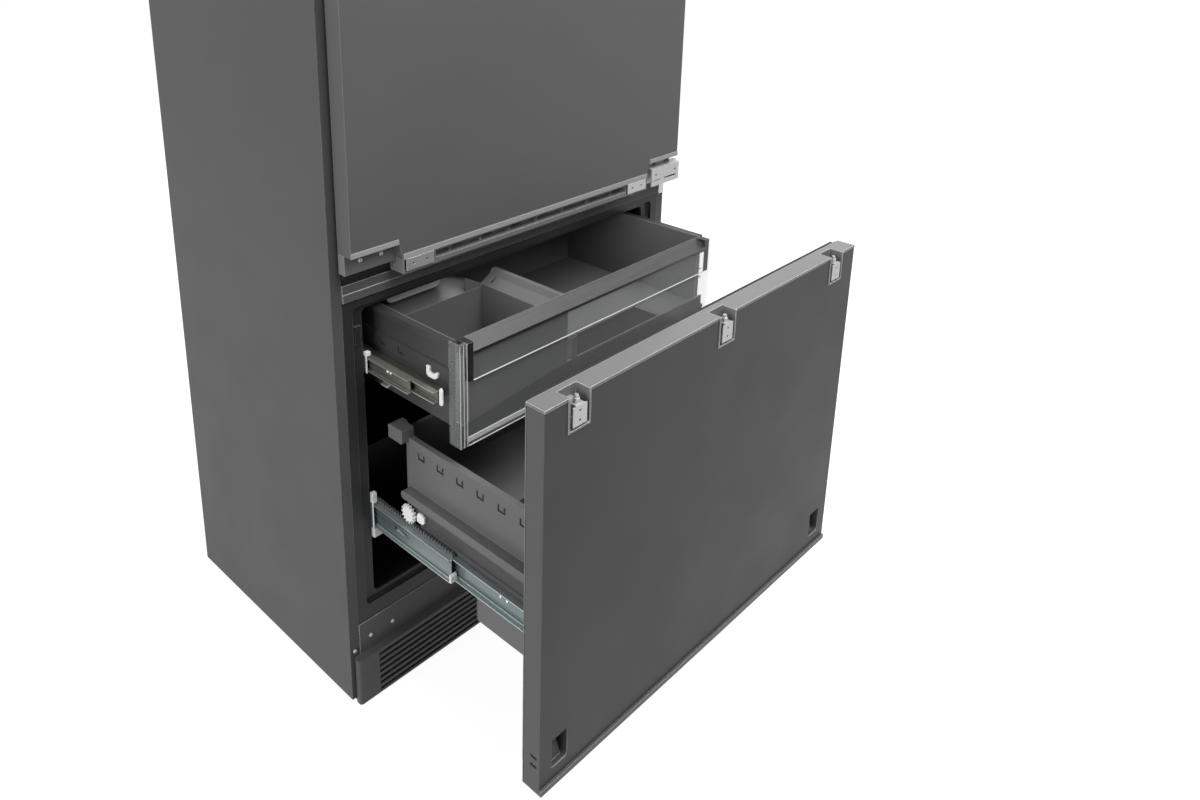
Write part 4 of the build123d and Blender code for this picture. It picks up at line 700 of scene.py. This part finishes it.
dress(
    "inner_front_glass",
    clear_sheet("front pane", (0.42, 0.43, 0.43, 1.0), roughness=0.04, density=0.03),
)
bar_colour = (0.020, 0.020, 0.020, 1.0)
bar_brushing = drawn_metal(
    "bar brushing",
    bar_colour,
    roughness=0.40,
    along="X",
    metallic=0.22,
    depth=0.6,
    contrast=0.7,
    edge=0.5,
)
dress("inner_handle_bar", bar_brushing)
ease_edges("inner_handle_bar", width=0.0010)
# Pale strips on the guard, the foot strip, its ribs and the post edges paint the glints of the
# clear edges.
painted_glint = moulded(
    "polished edge", (0.46, 0.47, 0.47, 1.0), roughness=0.12, grain=300.0, depth=0.02, edge=0.2
)
guard_glint = [(-208.2, 723.0), (-208.2, 724.3), (-205.2, 724.3), (-205.2, 723.0)]
pushed("guard_glint", guard_glint, (-324, 324), "inner_drawer", painted_glint, width=0.0005)
strip_glint = [(-207.6, 605.6), (-207.6, 607.4), (-206.0, 607.4), (-206.0, 605.6)]
pushed("strip_glint", strip_glint, (-336, 336), "inner_drawer", painted_glint, width=0.0005)


def ribbed_strip(name, x, y, z, pitch, depth, body, material):
    """Corrugated strip in millimetres: a rectangle in Y and Z carried along X.

    Its front lies at y[0] - depth cos^2(pi x / pitch), so each rib is one pitch wide.
    """
    station = np.arange(x[0], x[1] + 0.01, pitch / 4)
    count = len(station)
    front = y[0] - depth * np.cos(math.pi * station / pitch) ** 2
    back = np.full(count, float(y[1]))
    foot, head = np.full(count, float(z[0])), np.full(count, float(z[1]))
    ring = [(front, foot), (front, head), (back, head), (back, foot)]
    corners = np.stack([np.column_stack([station, along, up]) for along, up in ring]) / 1000
    corners[:, :, 1] += cabinet_front
    side, step = np.meshgrid(np.arange(4), np.arange(count - 1), indexing="ij")
    after = (side + 1) % 4
    here, there = side * count + step, after * count + step
    quads = np.stack([here, here + 1, there + 1, there], -1)
    first_end = [edge * count for edge in range(4)]
    last_end = [(edge + 1) * count - 1 for edge in reversed(range(4))]
    faces = quads.reshape(-1, 4).tolist() + [first_end, last_end]
    finish_mesh(name, corners.reshape(-1, 3), faces, body, material, width=0.0)


foot_across, rib_heights = (-336, 336), (613, 622)
rib_pitch, rib_depth = 4.2, 0.9
ribbed_strip(
    "strip_ribs", foot_across, (-206.4, -205.2), rib_heights, rib_pitch, rib_depth,
    "inner_drawer", painted_glint,
)
post_glint = [(-207.8, 606), (-207.8, 793), (-206.6, 793), (-206.6, 606)]
post_glints = {"left": (-354.4, -353.2), "middle": (-346.4, -345.4), "inner": (-339.4, -338.2)}
for side, across in post_glints.items():
    pushed(f"post_glint_{side}", post_glint, across, "inner_drawer", painted_glint, width=0.0004)
clip = [
    (-126, 732), (-134, 732), (-134, 722), (-146, 722), (-150, 727),
    (-156, 727), (-154, 718), (-146, 713), (-130, 713), (-126, 717),
]
pushed("bin_clip", clip, (-357.5, -352.8), "inner_drawer", white_moulding, width=0.0007)
hook = [(-3, 650), (-20, 650), (-31, 662), (-33, 660.5), (-21, 647), (-3, 647)]
pushed("bin_hook", hook, (-361, -349.8), "inner_drawer", zinc_plate, width=0.0003)

# ---------------------------------------------------------------- fridge door
# Folded steel face like the drawer's, with a painted highlight along its foot, foamed to an inner
# panel.
# The moulded end cap has recessed plates with bright screws, and steel angles for the panel.
foot_highlight_colour = (0.26, 0.26, 0.26, 1.0)
foot_highlight_front, foot_highlight_rear = cabinet_front - 0.0500, cabinet_front - 0.0441
door_paint = coated_steel("door face", (0.085, 0.085, 0.086, 1.0), roughness=0.42, edge=0.25)
door_tree = door_paint.node_tree
# A paler band along the door's foot is a painted highlight.
foot_highlight = between(door_tree, object_place(door_tree), "Y", foot_highlight_front, foot_highlight_rear)
marked(door_paint, foot_highlight, foot_highlight_colour)
dress("door_skin", door_paint)
dress("door_bottom_cap", moulded("end cap", (0.13, 0.13, 0.131, 1.0), roughness=0.36, edge=0.25))
screw_head = [(4.4, 0.0), (4.2, 1.2), (3.2, 2.0), (1.2, 2.3), (1.0, 1.4)]
for side, x in (("outer", -408), ("inner", -365)):
    place = (x, -24.5, 904.5)
    name = f"notch_screw_{side}"
    turned(name, screw_head, place, "fridge_door", satin_steel, steps=20, facing="front")
dress("door_panel_brackets", satin_steel)
dress("door_inner_panel", inner_grey)
dress("door_gasket", rubber)
dress("door_hinges", satin_steel)
dress("cabinet_hinges", zinc_plate)
dress("door_bins", clear_sheet("door bin", (0.75, 0.78, 0.79, 1.0), roughness=0.05, density=0.12))

# ---------------------------------------------------------------- fridge compartment
# Tempered glass shelves in moulded frames that rest on the liner's ledges, and two clear moulded
# crispers that slide below the lowest shelf.
dress(
    "shelf_glass",
    clear_sheet("shelf glass", (0.55, 0.66, 0.64, 1.0), roughness=0.02, density=0.10),
)
dress("shelf_frames", moulded("shelf frame", (0.12, 0.12, 0.122, 1.0), roughness=0.38))
crisper_clear = clear_sheet("crisper", (0.72, 0.75, 0.76, 1.0), roughness=0.08, density=0.14)
dress("crisper_left", crisper_clear)
dress("crisper_right", crisper_clear)

# ---------------------------------------------------------------- floor, camera and light
# A plain pale floor and sky; the lamps are large and soft, as in a photo studio.
# A very small lamp stands for the one in the freezer's ceiling.
floor_reach = 14.0
floor_level = cad_low.z - 0.0002
floor_corners = [(-1, -1), (1, -1), (1, 1), (-1, 1)]
floor_grid = [(x * floor_reach, y * floor_reach, floor_level) for x, y in floor_corners]
floor_mesh = bpy.data.meshes.new("floor")
floor_mesh.from_pydata(floor_grid, [], [(0, 1, 2, 3)])
floor = bpy.data.objects.new("floor", floor_mesh)
bpy.context.scene.collection.objects.link(floor)


def seen_rays(tree):
    """One for the rays that the eye follows: straight, mirrored and through glass."""
    path = tree.nodes.new("ShaderNodeLightPath").outputs
    either = maths(tree, "MAXIMUM", path["Is Camera Ray"], path["Is Glossy Ray"])
    return maths(tree, "MAXIMUM", either, path["Is Transmission Ray"])


def floor_finish():
    """White to the eye and in reflections, over a matt grey that takes the object's shadow.

    The white is left out under the cabinet, where no light from the room comes.
    """
    darker, paler = (0.21, 0.21, 0.21, 1.0), (0.23, 0.23, 0.23, 1.0)
    glow_strength = 0.88
    shade_half_width, shade_front, shade_rear = 0.44, cabinet_front + 0.004, cabinet_front + 0.550
    material, tree, shader, place = start_material("floor", 0.9)
    tone = ramp(tree, noise(tree, place, 1.5), [(0.3, darker), (0.7, paler)])
    tree.links.new(tone, shader.inputs["Base Color"])
    glow = tree.nodes.new("ShaderNodeEmission")
    across = between(tree, place, "X", -shade_half_width, shade_half_width)
    along = between(tree, place, "Y", shade_front, shade_rear)
    under = maths(tree, "MULTIPLY", across, along)
    open_floor = maths(tree, "SUBTRACT", 1.0, under)
    tree.links.new(maths(tree, "MULTIPLY", open_floor, glow_strength), glow.inputs["Strength"])
    total = tree.nodes.new("ShaderNodeAddShader")
    choice = tree.nodes.new("ShaderNodeMixShader")
    tree.links.new(shader.outputs[0], total.inputs[0])
    tree.links.new(glow.outputs[0], total.inputs[1])
    tree.links.new(seen_rays(tree), choice.inputs["Fac"])
    tree.links.new(shader.outputs[0], choice.inputs[1])
    tree.links.new(total.outputs[0], choice.inputs[2])
    tree.links.new(choice.outputs[0], tree.nodes["Material Output"].inputs["Surface"])
    return material


floor_mesh.materials.append(floor_finish())

world = bpy.data.worlds.new("studio")
world.use_nodes = True
bpy.context.scene.world = world
sky = world.node_tree
sky_light = sky.nodes["Background"]
sky_seen = sky.nodes.new("ShaderNodeBackground")
for background, strength in ((sky_light, 0.28), (sky_seen, 1.0)):
    background.inputs["Color"].default_value = (1.0, 1.0, 1.0, 1.0)
    background.inputs["Strength"].default_value = strength
sky_mix = sky.nodes.new("ShaderNodeMixShader")
sky.links.new(seen_rays(sky), sky_mix.inputs["Fac"])
sky.links.new(sky_light.outputs[0], sky_mix.inputs[1])
sky.links.new(sky_seen.outputs[0], sky_mix.inputs[2])
sky.links.new(sky_mix.outputs[0], sky.nodes["World Output"].inputs["Surface"])


def softbox(name, place, aim, width, height, power):
    """Rectangular studio lamp at a place, turned towards a point."""
    lamp = bpy.data.lights.new(name, "AREA")
    lamp.shape = "RECTANGLE"
    lamp.size = width
    lamp.size_y = height
    lamp.energy = power
    holder = bpy.data.objects.new(name, lamp)
    bpy.context.scene.collection.objects.link(holder)
    holder.location = place
    holder.rotation_mode = "QUATERNION"
    holder.rotation_quaternion = (Vector(aim) - Vector(place)).to_track_quat("-Z", "Y")


softbox("over", (0.7, -1.1, 4.2), (0.2, -0.5, 0.6), width=3.0, height=2.6, power=205.0)
softbox("side", (-4.0, -0.6, 1.9), (0.0, -0.2, 0.6), width=2.4, height=2.4, power=142.0)
softbox("front", (-0.3, -2.7, 3.5), (0.0, -0.1, 1.3), width=1.8, height=1.8, power=56.0)
softbox("right", (3.8, -0.9, 2.4), (0.0, -0.2, 0.8), width=2.2, height=2.4, power=22.0)
softbox("rear", (1.2, 4.0, 2.8), (0.0, 0.0, 0.9), width=2.6, height=2.4, power=90.0)
freezer_lamp_place = (-0.14, cabinet_front + 0.06, 0.791)
freezer_lamp_aim = (-0.25, cabinet_front + 0.01, 0.68)
softbox("freezer lamp", freezer_lamp_place, freezer_lamp_aim, width=0.05, height=0.03, power=0.012)

# The camera stands to the left of the open drawers and above them; yaw and pitch are in radians.
eye = np.array([-1.27175, -1.28884, 1.50565])
yaw, pitch = 0.79913, 0.29718
level_ahead = np.array([math.cos(yaw), math.sin(yaw), 0.0])
ahead = level_ahead * math.cos(pitch) - np.array([0.0, 0.0, math.sin(pitch)])
right = np.array([math.sin(yaw), -math.cos(yaw), 0.0])
up = np.cross(right, ahead)
camera_data = bpy.data.cameras.new("camera")
camera_data.sensor_width = 36.0
camera_data.lens = 28.945
camera_data.shift_x = 0.0829
camera_data.shift_y = -0.189
camera_data.clip_start = 0.05
camera_data.clip_end = 60.0
camera = bpy.data.objects.new("camera", camera_data)
bpy.context.scene.collection.objects.link(camera)
turn = Matrix(np.column_stack([right, up, -ahead]).tolist()).to_4x4()
camera.matrix_world = Matrix.Translation(eye.tolist()) @ turn
bpy.context.scene.camera = camera
bpy.context.scene.view_settings.view_transform = "Standard"
